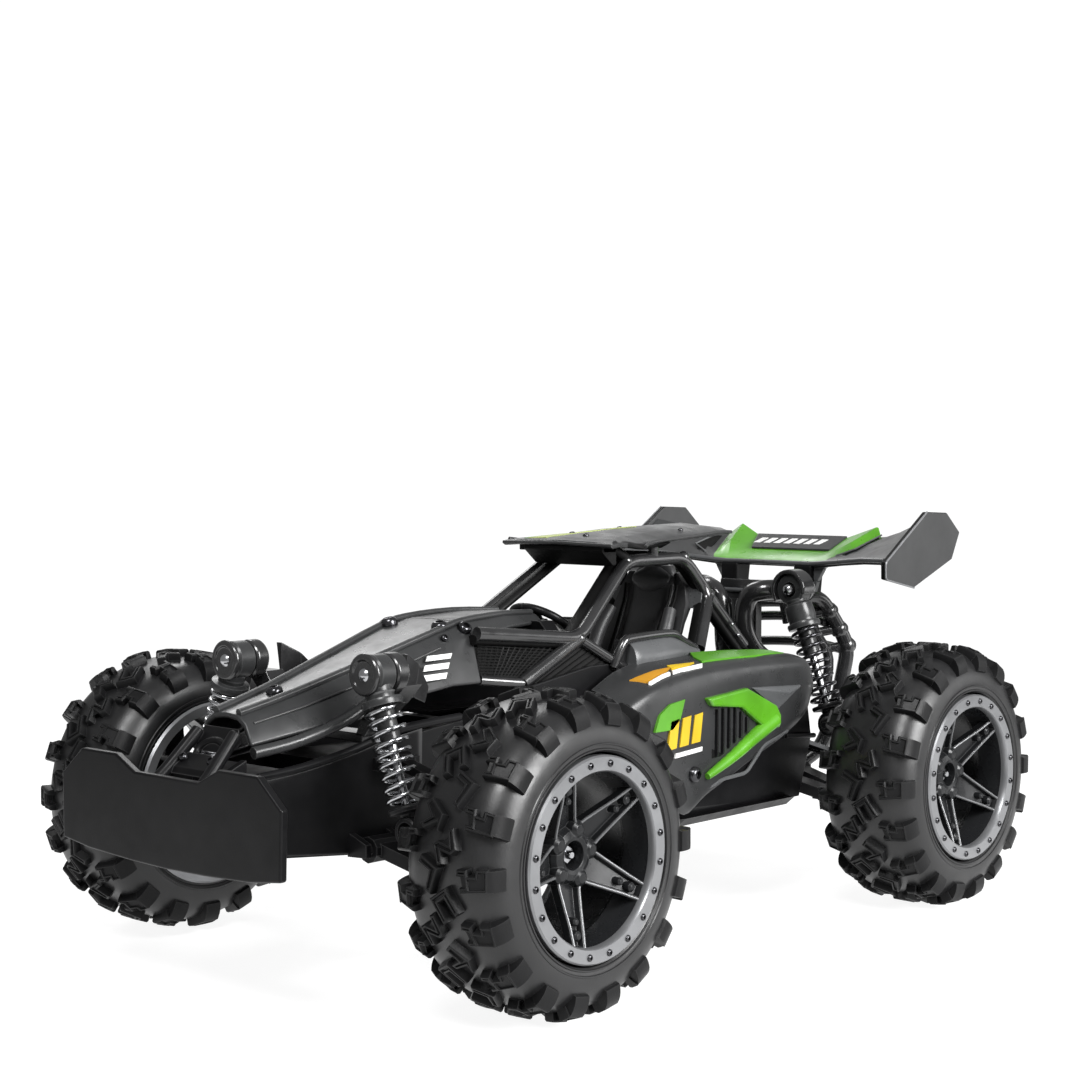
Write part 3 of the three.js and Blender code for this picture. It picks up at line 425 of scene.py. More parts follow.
SEAT = look("seat_black", (0.026, 0.026, 0.027), 0.42, grain=0.08, grain_size=0.7, specular=0.4)
BOARD = look("board_green", (0.01, 0.035, 0.016), 0.45, grain=0.03)
WRAP = look("battery_wrap", (0.012, 0.02, 0.045), 0.3, grain=0.02)
BRASS = look("pinion_brass", (0.6, 0.42, 0.16), 0.3, metallic=1.0, grain=0.02)
MOTOR = look("motor_can", (0.5, 0.51, 0.53), 0.3, metallic=1.0, grain=0.02)


# CAD nodes that stay get their finish and softer edges

KEPT = {
    "chassis_tub": (BLACK, 0.5), "battery_cover": (BLACK, 0.3), "power_switch": (DEEP, 0.4),
    "drive_gear": (BLACK, 0.1), "motor_pinion": (BRASS, 0.1), "drive_motor": (MOTOR, 0.5),
    "gearbox_housing": (BLACK, 0.5), "gearbox_cover": (BLACK, 0.4), "battery_pack": (WRAP, 1.2),
    "circuit_board": (BOARD, 0.15), "steering_servo": (BLACK, 0.6), "steering_link": (BLACK, 0.3),
}
for end in AXLES:
    for side in SIDES:
        KEPT[f"{end}_{side}_lower_arm"] = (BLACK, 0.35)
        KEPT[f"{end}_{side}_hub_carrier"] = (BLACK, 0.35)
for side in SIDES:
    KEPT[f"front_{side}_upper_arm"] = (BLACK, 0.3)
    KEPT[f"front_{side}_knuckle"] = (BLACK, 0.3)
    KEPT[f"front_{side}_tie_rod"] = (STEEL, 0.2)
    KEPT[f"rear_{side}_half_shaft"] = (STEEL, 0.2)
for node, (finish, width) in KEPT.items():
    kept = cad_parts[node]
    kept.data.materials.clear()
    kept.data.materials.append(finish)
    soften(kept, width)


# Tyres. A point on one is (along the tread, across it from the centre plane, height above the rubber).

LUGS = 18
CROWN_RADIUS = 35.8
TREAD_HEIGHT = 2.0
SIDEWALL = [(0, CROWN_RADIUS), (4, 35.7), (8, 35.3), (10.8, 34.2), (13.0, 32.3), (14.5, 29.8), (15.1, 27.2),
            (14.9, 25.4), (14.2, 24.3)]
BEAD = [(12.6, 24.1), (12.0, 26.5), (9, 31.6)]


def sidewall_curve():
    """The outside of half a tyre as (distance from the centre plane along it, x, radius, normal)."""
    path = smooth([(x, r, 0) for x, r in SIDEWALL], 5)
    travelled, table = 0.0, []
    for i, p in enumerate(path):
        if i:
            travelled += (p - path[i - 1]).length
        ahead = path[min(i + 1, len(path) - 1)] - path[max(i - 1, 0)]
        normal = Vector((-ahead.y, ahead.x, 0)).normalized()
        if i == 0:
            normal = Vector((0, 1, 0))
        table.append((travelled, p, normal))
    return table


SIDEWALL_TABLE = sidewall_curve()


def on_tyre(along, across, height):
    reach = abs(across)
    for (s0, p0, n0), (s1, p1, n1) in zip(SIDEWALL_TABLE, SIDEWALL_TABLE[1:]):
        if s1 >= reach:
            break
    t = min((reach - s0) / (s1 - s0), 1)
    point = p0.lerp(p1, t) + n0.lerp(n1, t).normalized() * height
    angle = along / CROWN_RADIUS
    return Vector((math.copysign(1, across) * point.x, point.y * math.cos(angle), point.y * math.sin(angle)))


def drawn_in(outline, amount):
    """An outline moved inwards by amount; it runs anticlockwise."""
    result = []
    count = len(outline)
    for i in range(count):
        before, here, after = (Vector(outline[(i + k) % count]) for k in (-1, 0, 1))
        first, second = (here - before).normalized(), (after - here).normalized()
        inward = Vector((-first.y - second.y, first.x + second.x))
        share = max(inward.length_squared / 2, 0.35)
        result.append(here + inward * (amount / share))
    return result


BLOCKS = [
    [(-3.5, -3.1), (3.3, -3.3), (3.4, -1.1), (-1.1, -0.9), (-1.1, 0.9), (3.4, 1.2), (3.2, 3.3), (-3.5, 3.1)],
    [(-1.6, -3.5), (3.7, -3.1), (3.6, -1.0), (1.1, -0.9), (2.3, 1.4), (1.5, 3.5), (-3.7, 3.2), (-3.6, 1.1),
     (-0.6, 1.0), (-2.0, -1.4)],
    [(-3.4, -3.3), (-1.0, -3.3), (-1.0, 0.5), (3.5, 0.9), (3.5, 3.3), (-3.4, 3.2)],
    [(-3.6, -1.9), (-1.4, -3.5), (0.6, -0.6), (3.0, -3.3), (3.8, -1.2), (1.3, 2.2), (3.2, 3.4), (-1.2, 3.5)],
]
SHOULDER_BAR = [(-2.7, 6.2), (-0.9, 6.0), (-0.8, 8.0), (1.0, 8.2), (1.1, 6.9), (2.7, 7.0), (2.7, 13.0),
                (-2.7, 13.0), (-2.7, 10.2), (-1.3, 10.1), (-1.3, 9.2), (-2.7, 9.0)]


def tread_block(bm, outline, height, edge):
    """A rubber block with drafted sides, a soft rim and a sunken top."""
    levels = [(0, -0.7), (0.22, height(0) - 0.35), (0.5, height(0)), (edge, height(0)),
              (edge + 0.2, height(0) - 0.5)]
    loops = []
    for draw, level in levels:
        loops.append([on_tyre(a, s, level + height(s) - height(0)) for a, s in drawn_in(outline, draw)])
    rings(bm, loops, 1)


def tyre_mesh():
    bm = bmesh.new()
    outer = [(p.x, p.y) for _, p, _ in SIDEWALL_TABLE]
    right = [(x, r) for x, r in outer] + BEAD
    profile = [(-x, r) for x, r in right[:0:-1]] + right
    lathe(bm, [(r, x) for x, r in profile], (0, 0, 0), (1, 0, 0), 96, closed=True)
    shoulder = lambda s: TREAD_HEIGHT + 0.055 * max(abs(s) - 6, 0) ** 1.35
    flat = lambda s: TREAD_HEIGHT
    arc_length = 2 * math.pi * CROWN_RADIUS / LUGS
    for i in range(LUGS):
        for sign in (1, -1):
            shift = (i + (0 if sign > 0 else 0.5)) * arc_length
            lean = 0.9 if i % 2 else -0.9
            bar = [(a + shift + lean * (10 - s) * 0.12, s) for a, s in SHOULDER_BAR]
            bar = bar if sign > 0 else [(a, -s) for a, s in bar][::-1]
            tread_block(bm, bar, shoulder, 0.75)
            tab = []
            for step in range(6):
                t = step / 5
                s = (12.4 + 4.0 * t) * sign
                half, high = 2.7 + 0.5 * t, 2.7 - 1.9 * t ** 1.4
                tab.append([on_tyre(shift - half, s, -0.6), on_tyre(shift - half * 0.86, s, high),
                            on_tyre(shift + half * 0.86, s, high), on_tyre(shift + half, s, -0.6)])
            rings(bm, tab, 1)
            kind = BLOCKS[(i * 3 + (1 if sign > 0 else 2)) % len(BLOCKS)]
            turn = math.radians((-24, 18, 32, -12)[(i + (sign > 0)) % 4])
            middle = Vector((shift + arc_length / 2, 2.6 * sign))
            outline = []
            for a, s in kind:
                point = Vector((a * math.cos(turn) - s * math.sin(turn), a * math.sin(turn)
                                + s * math.cos(turn)))
                outline.append(tuple(point * 0.98 + middle))
            tread_block(bm, outline, flat, 0.8)
    for sign in (1, -1):
        for radius, x in ((26.2, 15.05), (24.9, 14.75)):
            rib = [(radius + 0.3 * math.cos(a), x * sign + 0.3 * math.sin(a)) for a in circle(6)]
            lathe(bm, rib, (0, 0, 0), (1, 0, 0), 96, closed=True)
    return bm


# Rims: a bright bolted ring, five double-ribbed spokes and a deep hub

SPOKES = 5
SPOKE_START = 41.5
RING_BOLTS = 20
DISH = 19.9


def ring_mesh():
    bm = bmesh.new()
    lathe(bm, [(DISH, 14.9), (DISH + 0.35, 15.35), (RING_RADIUS - 0.4, 15.35), (RING_RADIUS, 14.9),
               (RING_RADIUS, 13.2), (DISH, 13.2)], (0, 0, 0), (1, 0, 0), 96, closed=True)
    lathe(bm, [(21.2, -14.4), (21.5, -15.9), (24.0, -16), (24.6, -15.4), (23.6, -14.6)], (0, 0, 0), (1, 0, 0),
          96, closed=True)
    return bm


def bolts_mesh():
    bm = bmesh.new()
    for i in range(RING_BOLTS):
        angle = math.radians(360 / RING_BOLTS * (i + 0.5))
        screw(bm, (15.35, 21.85 * math.cos(angle), 21.85 * math.sin(angle)), (1, 0, 0), 0.85, sides=12)
    return bm


def spoke(bm, angle):
    out = Vector((0, math.cos(angle), math.sin(angle)))
    across = Vector((0, -math.sin(angle), math.cos(angle)))
    forward = Vector((1, 0, 0))
    loops = []
    for radius, half, face in ((5, 4.3, 6.8), (8, 3.9, 7.8), (12, 3.3, 9.6), (16, 2.7, 11.5),
                               (20.4, 2.25, 13.3)):
        rib = 0.85
        section = [(-half, -2.4), (-half, 0), (-half + rib, 0), (-half + rib + 0.3, -1.5),
                   (half - rib - 0.3, -1.5), (half - rib, 0), (half, 0), (half, -2.4)]
        loops.append([out * radius + across * t + forward * (face + x) for t, x in section])
    rings(bm, loops)
    # Thin tubes along the rib crests take slot 1, the paler metal: a painted highlight.
    for first in (1, 5):
        crest = [(loop[first] + loop[first + 1]) / 2 for loop in loops]
        tube(bm, crest, 0.34, 8, 1)
    for radius, size in ((17.6, 1.0), (14.6, 0.8)):
        depth = 6.1 + radius * 0.4
        centre = out * radius + forward * (depth - 3.6)
        lathe(bm, [(0, 0), (size * 1.3, 0), (size * 1.2, 2.5), (size * 0.7, 3.0), (0, 3.0)], centre,
              (1, 0, 0), 12)


def rim_mesh():
    bm = bmesh.new()
    lathe(bm, [(DISH + 0.2, 13.4), (DISH - 0.3, 11), (DISH - 0.4, 6), (21.2, 3.4), (21.6, -14.6),
               (23.2, -15.6), (24.0, -15.2), (23.4, -12), (23.2, 13.4)], (0, 0, 0), (1, 0, 0), 96,
          closed=True)
    for i in range(SPOKES):
        angle = math.radians(SPOKE_START + 360 / SPOKES * i)
        spoke(bm, angle)
        between = angle + math.pi / SPOKES
        lobe = Vector((0, 5.9 * math.cos(between), 5.9 * math.sin(between)))
        lathe(bm, [(0, -1), (2.5, -1), (2.5, 6.4), (2.1, 7.6), (1.2, 8.3), (0, 8.4)], lobe, (1, 0, 0), 20)
    lathe(bm, [(0, -9), (5.6, -9), (6.6, -1), (6.6, 6.2), (5.8, 7.4), (4.4, 7.9), (3.4, 7.6), (3.1, 6.6),
               (3.1, 3.4), (0, 3.2)], (0, 0, 0), (1, 0, 0), 40)
    return bm


def nut_mesh():
    bm = bmesh.new()
    lathe(bm, [(0, 3), (2.4, 3), (2.4, 5.2), (2.0, 5.6), (0, 5.6)], (0, 0, 0), (1, 0, 0), 6)
    lathe(bm, [(0, 5.4), (1.0, 5.4), (1.0, 6.6), (0.7, 7.0), (0, 7.0)], (0, 0, 0), (1, 0, 0), 16)
    return bm


WHEEL_MESHES = {
    "tyre": finished("tyre", tyre_mesh(), RUBBER, TREAD),
    "rim": finished("rim", rim_mesh(), RIM, RIB_HIGHLIGHT),
    "ring": finished("ring", ring_mesh(), RING),
    "bolts": finished("bolts", bolts_mesh(), SCREW),
    "nut": finished("nut", nut_mesh(), STEEL),
}


def wheels():
    for end, y in AXLES.items():
        for side, sign in SIDES.items():
            turn = Matrix.Identity(4) if sign > 0 else Matrix.Rotation(math.pi, 4, "Z")
            place = Matrix.Translation(Vector((sign * TRACK_HALF, y, TYRE_RADIUS)) * MM) @ turn
            for part, mesh in WHEEL_MESHES.items():
                stands_for = [f"{end}_{side}_{part}"] if part in ("tyre", "rim") else []
                bevel = 0.3 if part == "rim" else 0.0
                dress(f"{end}_{side}_wheel_{part}", mesh, f"{end}_{side}_wheel", stands_for, bevel=bevel,
                      sharp=40, place=place)


wheels()


# Shocks: barrel and eye, rod and lower eye, and the coil between them

def shocks():
    for end, shock in SHOCKS.items():
        for side, sign in SIDES.items():
            name = f"{end}_{side}"
            top, foot = (Vector((sign * p[0], p[1], p[2])) for p in (shock["top"], shock["foot"]))
            axis = (foot - top).normalized()
            length = (foot - top).length
            seat, sleeve = shock["seat"], shock["sleeve"]
            bm = bmesh.new()
            lathe(bm, [(2.3, -2.4), (4.3, -2.4), (4.8, -1.8), (4.8, 2.4), (4.3, 3), (2.3, 3)], top, (0, 1, 0),
                  32, closed=True)
            lathe(bm, [(0, 3.4), (3.4, 3.4), (3.2, 4.4), (sleeve, 5.2), (sleeve + 0.3, seat - 2.2),
                       (sleeve, seat - 1.6), (sleeve, seat - 0.8), (4.9, seat - 0.6), (5.1, seat),
                       (4.9, seat + 1.1), (2.5, seat + 1.3), (2.5, seat + 10), (1.6, seat + 10.4),
                       (0, seat + 10.4)], top, axis, 32)
            make(f"{name}_shock_barrel", bm, SHELL, body=f"{name}_shock_body",
                 stands_for=[f"{name}_shock_body"], slot="frame_black")
            bm = bmesh.new()
            lathe(bm, [(0, seat + 6), (1.15, seat + 6), (1.15, length - 6.6), (0, length - 6.6)], top, axis,
                  20)
            make(f"{name}_shock_shaft", bm, STEEL, body=f"{name}_shock_rod")
            bm = bmesh.new()
            low = length - 6
            lathe(bm, [(1.2, low - 0.2), (4.5, low), (4.7, low + 0.4), (4.5, low + 1.2), (2.2, low + 1.7),
                       (1.7, length - 2.8), (0, length - 2.8)], top, axis, 28)
            lathe(bm, [(2.55, -2.6), (3.4, -2.6), (3.7, -2.3), (3.7, 2.3), (3.4, 2.6), (2.55, 2.6)], foot,
                  (0, 1, 0), 28, closed=True)
            make(f"{name}_shock_foot", bm, BLACK, body=f"{name}_shock_rod", stands_for=[f"{name}_shock_rod"])
            coil(name, top, axis, seat + 1.3, low - 0.1)


COIL_RADIUS = 4.15
WIRE = {"front": STEEL, "rear": SCREW}
WIRE_RADIUS = 0.55
COIL_TURNS = 9


def coil(name, top, axis, start, end):
    place = facing(top, axis, (1, 0, 0))
    points = []
    steps = COIL_TURNS * 20
    for i in range(steps + 1):
        t = i / steps
        closeness = t - math.sin(4 * math.pi * t) * 0.012  # the end turns lie closer together
        angle = 2 * math.pi * COIL_TURNS * t
        along = start + WIRE_RADIUS + (end - start - 2 * WIRE_RADIUS) * closeness
        points.append(place @ Vector((COIL_RADIUS * math.cos(angle), COIL_RADIUS * math.sin(angle), along)))
    bm = bmesh.new()
    tube(bm, points, WIRE_RADIUS, 8)
    mesh = finished(f"{name}_coil", bm, WIRE[name.split("_")[0]])
    piece = bpy.data.objects.new(f"{name}_coil", mesh)
    scene.collection.objects.link(piece)
    mesh.shade_smooth()
    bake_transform(piece)
    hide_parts(f"{name}_spring")


shocks()


# Nose

NOSE = [
    (-116.4, [(0, 67.5), (4.4, 67.1), (7.4, 65.2), (9.9, 60.4)]),
    (-100, [(0, 71.3), (5.8, 70.9), (9.2, 68.4), (12.2, 62.9)]),
    (-78, [(0, 77.6), (8.4, 77.2), (12.0, 74.2), (15.4, 67.4)]),
    (-56, [(0, 84.0), (10.8, 83.7), (14.0, 80.6), (17.3, 70.4)]),
    (-46.5, [(0, 86.2), (10.6, 85.9), (14.6, 82.2), (18.0, 70.4)]),
]
HOOD = [
    (-46.5, [(0, 86.2), (10.6, 85.9), (14.6, 82.2)]),
    (-30, [(0, 87.2), (9.6, 86.8), (13.4, 84.0)]),
    (-13, [(0, 86.8), (6.2, 86.0), (8.6, 84.2)]),
]


def across(stations):
    """Grid rows from half cross-sections, right side to left."""
    rows = []
    for y, half in stations:
        rows.append([(-x, y, z) for x, z in half[:0:-1]] + [(x, y, z) for x, z in half])
    return rows


def nose():
    bm = bmesh.new()
    shell(bm, across(NOSE), 1.5, (0, -80, 55))
    make("nose_shell", bm, SHELL, stands_for=["nose_cover"], bevel=0.7, segments=3)
    bm = bmesh.new()
    shell(bm, across(HOOD), 1.3, (0, -30, 60))
    make("hood_shell", bm, SHELL, bevel=0.6, segments=3)
    bm = bmesh.new()
    ridge = ((4.2, -115.6, 67.6), (5.7, -100, 71.3), (8.3, -78, 77.6), (10.7, -56, 84.1), (10.5, -46.5, 86.2),
             (9.4, -30, 87.1), (6.2, -15, 86.6))
    tube(bm, smooth(ridge, 3), lambda t: 1.15 - 0.4 * t, 10)
    rail = ((10.6, -116.5, 58.8), (12.4, -104, 60.6), (14.6, -91, 64.6), (16, -83.5, 68.8))
    tube(bm, smooth(rail, 4), 1.5, 12)
    belt = ((7.9, -114, 65.4), (9.5, -100, 68.2), (12.3, -78, 74), (14.2, -58, 80))
    tube(bm, belt, 0.35, 8)
    mirror(bm)
    box(bm, (-3.4, 3.4), (-113, -60), (66.4, 67))
    make("nose_ribs", bm, SHELL, bevel=0.2)
    bm = bmesh.new()
    screw(bm, (9.4, -53.5, 85.0), (0.1, -0.2, 1), 2.2)
    screw(bm, (12.6, -47.5, 84.4), (0.7, -0.1, 0.7), 1.9)
    screw(bm, (13.2, -55.5, 82.4), (0.75, -0.1, 0.6), 1.0)
    mirror(bm)
    screw(bm, (0, -101, 71.3), (0, -0.28, 0.96), 2.1)
    make("nose_screws", bm, SCREW)


nose()


def number_marks():
    """Plain slanted bars on the flank of the nose, in place of a race number."""
    low, high = Vector((17.0, -60, 71.4)), Vector((14.1, -60, 80.2))
    climb = (high - low).normalized()
    back = Vector((0, 1, 0.02)).normalized()
    normal = back.cross(climb)
    place = Matrix.Translation(low) @ Matrix((back, climb, normal)).transposed().to_4x4()
    bm = bmesh.new()
    for start, end, level, thick in ((-7.4, 3.6, 1.0, 1.5), (-5.8, 5.2, 3.5, 1.5), (-4.2, 6.8, 6.0, 1.3)):
        slab(bm, [(start, level), (end - 2.2, level), (end - 1.2, level + thick),
                  (start + 1.0, level + thick)], place, -0.2, 0.16)
    pair("nose_marks", bm, WHITE)


number_marks()


# Front bumper

def bumper():
    half = [(11.8, 54.1), (19.1, 57.7), (32.9, 57.7), (41, 51), (40.6, 35)]
    low = [(30, 33.6), (14, 32.8), (0, 32.5)]
    outline = [(x, z) for x, z in half + low] + [(-x, z) for x, z in (half + low)[-2::-1]]
    place = Matrix(((1, 0, 0), (0, 0, 1), (0, 1, 0))).to_4x4()  # u is X, v is Z, and depth is Y
    bm = bmesh.new()
    slab(bm, outline, place, -134, -131.8)
    make("bumper_plate", bm, BLACK, stands_for=["front_bumper"], bevel=0.6, segments=3)
    bm = bmesh.new()
    tube(bm, rounded([(8.6, -131.8, 50.5), (8.0, -127, 54.6), (6.8, -118.6, 63.2)], 3), 1.7, 10)
    prism(bm, (9.2, 11), ((-131.9, 37), (-131.9, 52), (-118.6, 37), (-118.6, 57.5)))
    mirror(bm)
    prism(bm, (-7.6, 7.6), ((-127.2, 53.6), (-126.6, 55.2), (-122.6, 56.6), (-122.4, 58.2)))
    prism(bm, (-6.6, 6.6), ((-120.4, 58.4), (-119.6, 60.4), (-116.6, 60.6), (-117.2, 64.2)))
    ring = [(4.6 * math.cos(a), -120.9 + 2.1 * math.sin(a), 58.4 + 2.6 * math.sin(a))
            for a in circle(20, True)]
    tube(bm, ring, 1.0, 8)
    box(bm, (-9.4, 9.4), (-131.9, -118.6), (37, 39.4))
    make("bumper_bracket", bm, BLACK, bevel=0.45)
    bm = bmesh.new()
    screw(bm, (5.2, -124.6, 57.3), (0, -0.65, 0.76), 1.2)
    mirror(bm)
    make("bumper_screws", bm, SCREW)


bumper()


# Roll cage

def cage():
    joint = (21.5, -12.6, 80)
    screen_top = (14.3, 15.8, 99.6)
    roof_rear = (14.3, 42, 99.9)
    hoop_mid = (17, 50.8, 88.7)
    lower_front = (20.6, -34, 69.6)
    pillar_foot = (24, 37, 74.2)
    sill_end = (24.6, 3, 71.2)
    stay_foot = (21, 63, 73.3)
    bm = bmesh.new()

    def lay(points, radius=1.85, flat=1.0, inwards=0.0, slot=0):
        path = rounded([(x - inwards, y, z) for x, y, z in points], 4.5, 4)
        tube(bm, path, radius, 14, slot, flat=flat)

    lay([(17.4, -48, 83.2), joint, screen_top, roof_rear, hoop_mid, pillar_foot])
    lay([hoop_mid, stay_foot], 1.5)
    lay([joint, sill_end], 1.35)
    lay([joint, lower_front], 1.9)
    lay([(16.6, -46, 71), lower_front], 1.4)
    # The inner webs take slot 1, the dark dull deep black finish: painted shade on the tube sides turned away
    # from the light.
    web = 1
    lay([joint, screen_top], 1.45, flat=2.1, inwards=3.0, slot=web)
    lay([screen_top, roof_rear, hoop_mid, pillar_foot], 1.3, flat=1.8, inwards=2.6, slot=web)
    lay([(x, y - 1.6, z - 1.6) for x, y, z in (hoop_mid, stay_foot)], 1.4, flat=1.6, inwards=1.4, slot=web)
    lay([(17.4, -48, 81.6), (21.5, -13.6, 78.4)], 1.3, flat=1.4, inwards=1.6, slot=web)
    for x, y, z in (joint, screen_top, roof_rear, hoop_mid):
        ball = [(1.95 * math.cos(a), 1.95 * math.sin(a))
                for a in (k * math.pi / 8 - math.pi / 2 for k in range(1, 8))]
        lathe(bm, [(0, -1.95)] + ball + [(0, 1.95)], (x, y, z), (1, 0, 0), 16)
    tube(bm, [(14.3, 28, 99.8), (14.3, 28, 104)], 1.5, 14)
    mirror(bm)
    for x, y, z in (screen_top, roof_rear):
        tube(bm, [(x, y, z), (-x, y, z)], 1.6, 12)
    tube(bm, rounded([hoop_mid, (12, 56, 87), (-12, 56, 87), (-17, 50.8, 88.7)], 3), 1.7, 12)
    # The satin finish for the tubes, and the deep black one as painted shade on their inner webs.
    make("roll_cage_tubes", bm, CAGE, DEEP, stands_for=["roll_cage"], sharp=50)
    bm = bmesh.new()
    for y, z in ((59.4, 76.6), (56.4, 80.0)):
        screw(bm, (21.6, y, z), (1, 0, 0), 0.6, sides=12)
    screw(bm, (20.4, -7.5, 81.6), (1, 0, 0.2), 0.9, sides=16)
    mirror(bm)
    make("roll_cage_screws", bm, STEEL)


cage()


def bonnet_mesh():
    """A woven grille between the hood and the cage, and the dark hatch behind it, on each side."""
    corners = [Vector((x, y, z)) for x, y, z in ((15.4, -46, 82.6), (20.6, -13.6, 79.2), (20.2, -33, 70.2),
                                                 (16.4, -46, 71))]
    bm = bmesh.new()
    lines = 15
    for i in range(lines):
        t = (i + 0.5) / lines
        tube(bm, [corners[0].lerp(corners[1], t), corners[3].lerp(corners[2], t)], 0.18, 5)
        tube(bm, [corners[0].lerp(corners[3], t), corners[1].lerp(corners[2], t)], 0.18, 5)
    back = [c - Vector((1.2, 0, 0.6)) for c in corners]
    hull(bm, back + [c - Vector((0.6, 0, 0)) for c in back])
    hatch = [Vector((x, y, z)) for x, y, z in ((20.6, -12.6, 78.6), (23.6, 2.6, 70.6), (22.6, -10, 67.6),
                                               (20.4, -32, 69.4))]
    hull(bm, hatch + [p - Vector((0.8, 0, 0)) for p in hatch])
    for i in range(9):
        t = (i + 0.5) / 9
        rib = [hatch[0].lerp(hatch[1], t), hatch[3].lerp(hatch[2], t)]
        tube(bm, [p + Vector((0.1, 0, 0)) for p in rib], 0.3, 6)
    pair("bonnet_grille", bm, DEEP)
    bm = bmesh.new()
    lathe(bm, [(0, -1), (1.1, -1), (1.1, 1.2), (0.7, 1.5), (0, 1.5)], (19.9, -20.5, 76.4), (1, -0.3, 0.4), 12)
    mirror(bm)
    make("bonnet_clips", bm, SHELL_LIGHT, bevel=0.2)


bonnet_mesh()


# Roof

def on_sheet(stations, x, y, lift):
    """A point above a sheet given by half cross-sections."""
    for (y0, half0), (y1, half1) in zip(stations, stations[1:]):
        if y1 >= y:
            break
    t = min(max((y - y0) / (y1 - y0), 0), 1)
    section = [((a[0] + (b[0] - a[0]) * t), (a[1] + (b[1] - a[1]) * t)) for a, b in zip(half0, half1)]
    for (x0, z0), (x1, z1) in zip(section, section[1:]):
        if x1 >= abs(x):
            break
    return Vector((x, y, z0 + (z1 - z0) * min((abs(x) - x0) / (x1 - x0), 1) + lift))


def roof():
    stations = [
        (2.3, [(0, 105.7), (14, 105.4), (20.6, 105.0)]),
        (5.5, [(0, 106.5), (14, 105.9), (20.8, 105.4)]),
        (18, [(0, 107.6), (12.4, 106.6), (17.8, 104.6)]),
        (35, [(0, 108.8), (11.2, 107.8), (16.2, 106.0)]),
        (59, [(0, 109.4), (10.6, 108.6), (15.0, 107.2)]),
        (67, [(0, 108.6), (9.4, 108.0), (12.6, 107.0)]),
    ]
    bm = bmesh.new()
    shell(bm, across(stations), 1.5, (0, 35, 90))
    make("roof_shell", bm, SHELL, stands_for=["roof_panel"], bevel=0.5, segments=3)
    bm = bmesh.new()
    flap = ((19.8, 6.4, 105.6), (19.4, 5.4, 104.2), (17.6, 17.6, 103.0), (19.4, 19.2, 103.0),
            (17.5, 20, 104.4), (16.4, 12, 105.6), (15.4, 18, 103.4))
    hull(bm, flap)
    brace = ((17.2, 21, 103.6), (17.2, 33, 104.6), (12, 22, 105.4), (12, 34, 106.4), (14.4, 24, 102.6),
             (14.4, 32, 103))
    hull(bm, brace)
    for foot in ((14.3, 16.2, 100.4), (11, 10.5, 101)):
        tube(bm, [(foot[0], foot[1], foot[2]), (13, 9.4, 104.4)], 1.5, 10)
    mirror(bm)
    header = ((3.6, 104.2), (3.4, 102.8), (8.6, 98.6), (10, 98.9), (10, 104.6))
    prism(bm, (-13.4, 15.8), header)
    box(bm, (-15.8, 15.8), (4.0, 10), (102.4, 104.4))
    make("roof_frame", bm, DEEP, bevel=0.4)
    bm = bmesh.new()
    edge = ((18.8, 19, 103.8), (17.5, 23, 104.8), (17.2, 30, 105.4), (15.8, 45, 106.2), (14.6, 59, 107.0),
            (12.8, 67.2, 106.8))
    tube(bm, smooth(edge, 4), 0.5, 10)
    tube(bm, ((19.9, 4.2, 105.2), (18.9, 6.6, 104.9)), 0.8, 10)
    mirror(bm)
    tube(bm, [(-20.4, 2.5, 104.5), (0, 2.4, 104.9), (20.4, 2.5, 104.5)], 0.55, 10)
    make("roof_edges", bm, PLATE)
    bm = bmesh.new()
    screw(bm, on_sheet(stations, 11.6, 44, 0), (0.1, -0.05, 1), 0.8)
    mirror(bm)
    for x, y in ((3.5, 11), (-6, 16)):
        screw(bm, on_sheet(stations, x, y, 0), (0, -0.05, 1), 0.9)
    make("roof_screws", bm, SCREW)
    bands = {
        "pale": ([(-12.4, 4.2), (-5.4, 4.2), (1.5, 36), (-12.8, 36)], PALE),
        "green": ([(-13.8, 4.2), (-12.4, 4.2), (-12.8, 36), (-14.2, 36)], GREEN),
    }
    for name, (outline, finish) in bands.items():
        bm = bmesh.new()
        near, far = outline[:2], outline[3:1:-1]
        rows = []
        for i in range(9):
            t = i / 8
            rows.append([on_sheet(stations, a[0] + (b[0] - a[0]) * t, a[1] + (b[1] - a[1]) * t, 0.16) for a,
                         b in zip(near, far)])
        shell(bm, rows, 0.4, (0, 20, 60))
        make(f"roof_band_{name}", bm, finish)


roof()


# Side pods

POD = [  # y, inner top edge, shoulder, and how low the side panel reaches
    (-13, (26.4, 66.6), (38.2, 62.8), 57.0),
    (-5, (27.0, 70.6), (39.4, 66.4), 48.0),
    (3, (27.6, 72.6), (39.9, 68.6), 38.0),
    (10, (28.0, 73.2), (40.1, 69.8), 31.6),
    (20, (28.2, 73.6), (40.2, 70.8), 36.0),
    (30, (28.2, 73.6), (40.3, 71.2), 39.6),
    (42, (28.2, 73.4), (40.3, 71.3), 44.0),
    (56, (28.0, 72.8), (40.2, 71.0), 48.6),
    (68, (27.4, 71.6), (39.6, 70.2), 54.0),
    (74, (26.6, 70.0), (37.4, 67.6), 58.0),
]


def pod_rows():
    rows = []
    for y, (top_x, top_z), (x, z), low in POD:
        section = [(top_x, top_z), ((top_x + x) / 2, (top_z + z) / 2 + 0.5), (x - 2.2, z + 0.55),
                   (x - 0.4, z - 0.4), (x + 0.5, z - 2.6), (x + 0.9, z - 7), (x + 0.9, (z + low) / 2),
                   (x + 0.6, low + 3), (x - 0.2, low)]
        path = smooth([(a, 0, b) for a, b in section], 3)
        rows.append([(p.x, y, p.z) for p in path])
    columns = [smooth([row[i] for row in rows], 4) for i in range(len(rows[0]))]
    return [[column[i] for column in columns] for i in range(len(columns[0]))]


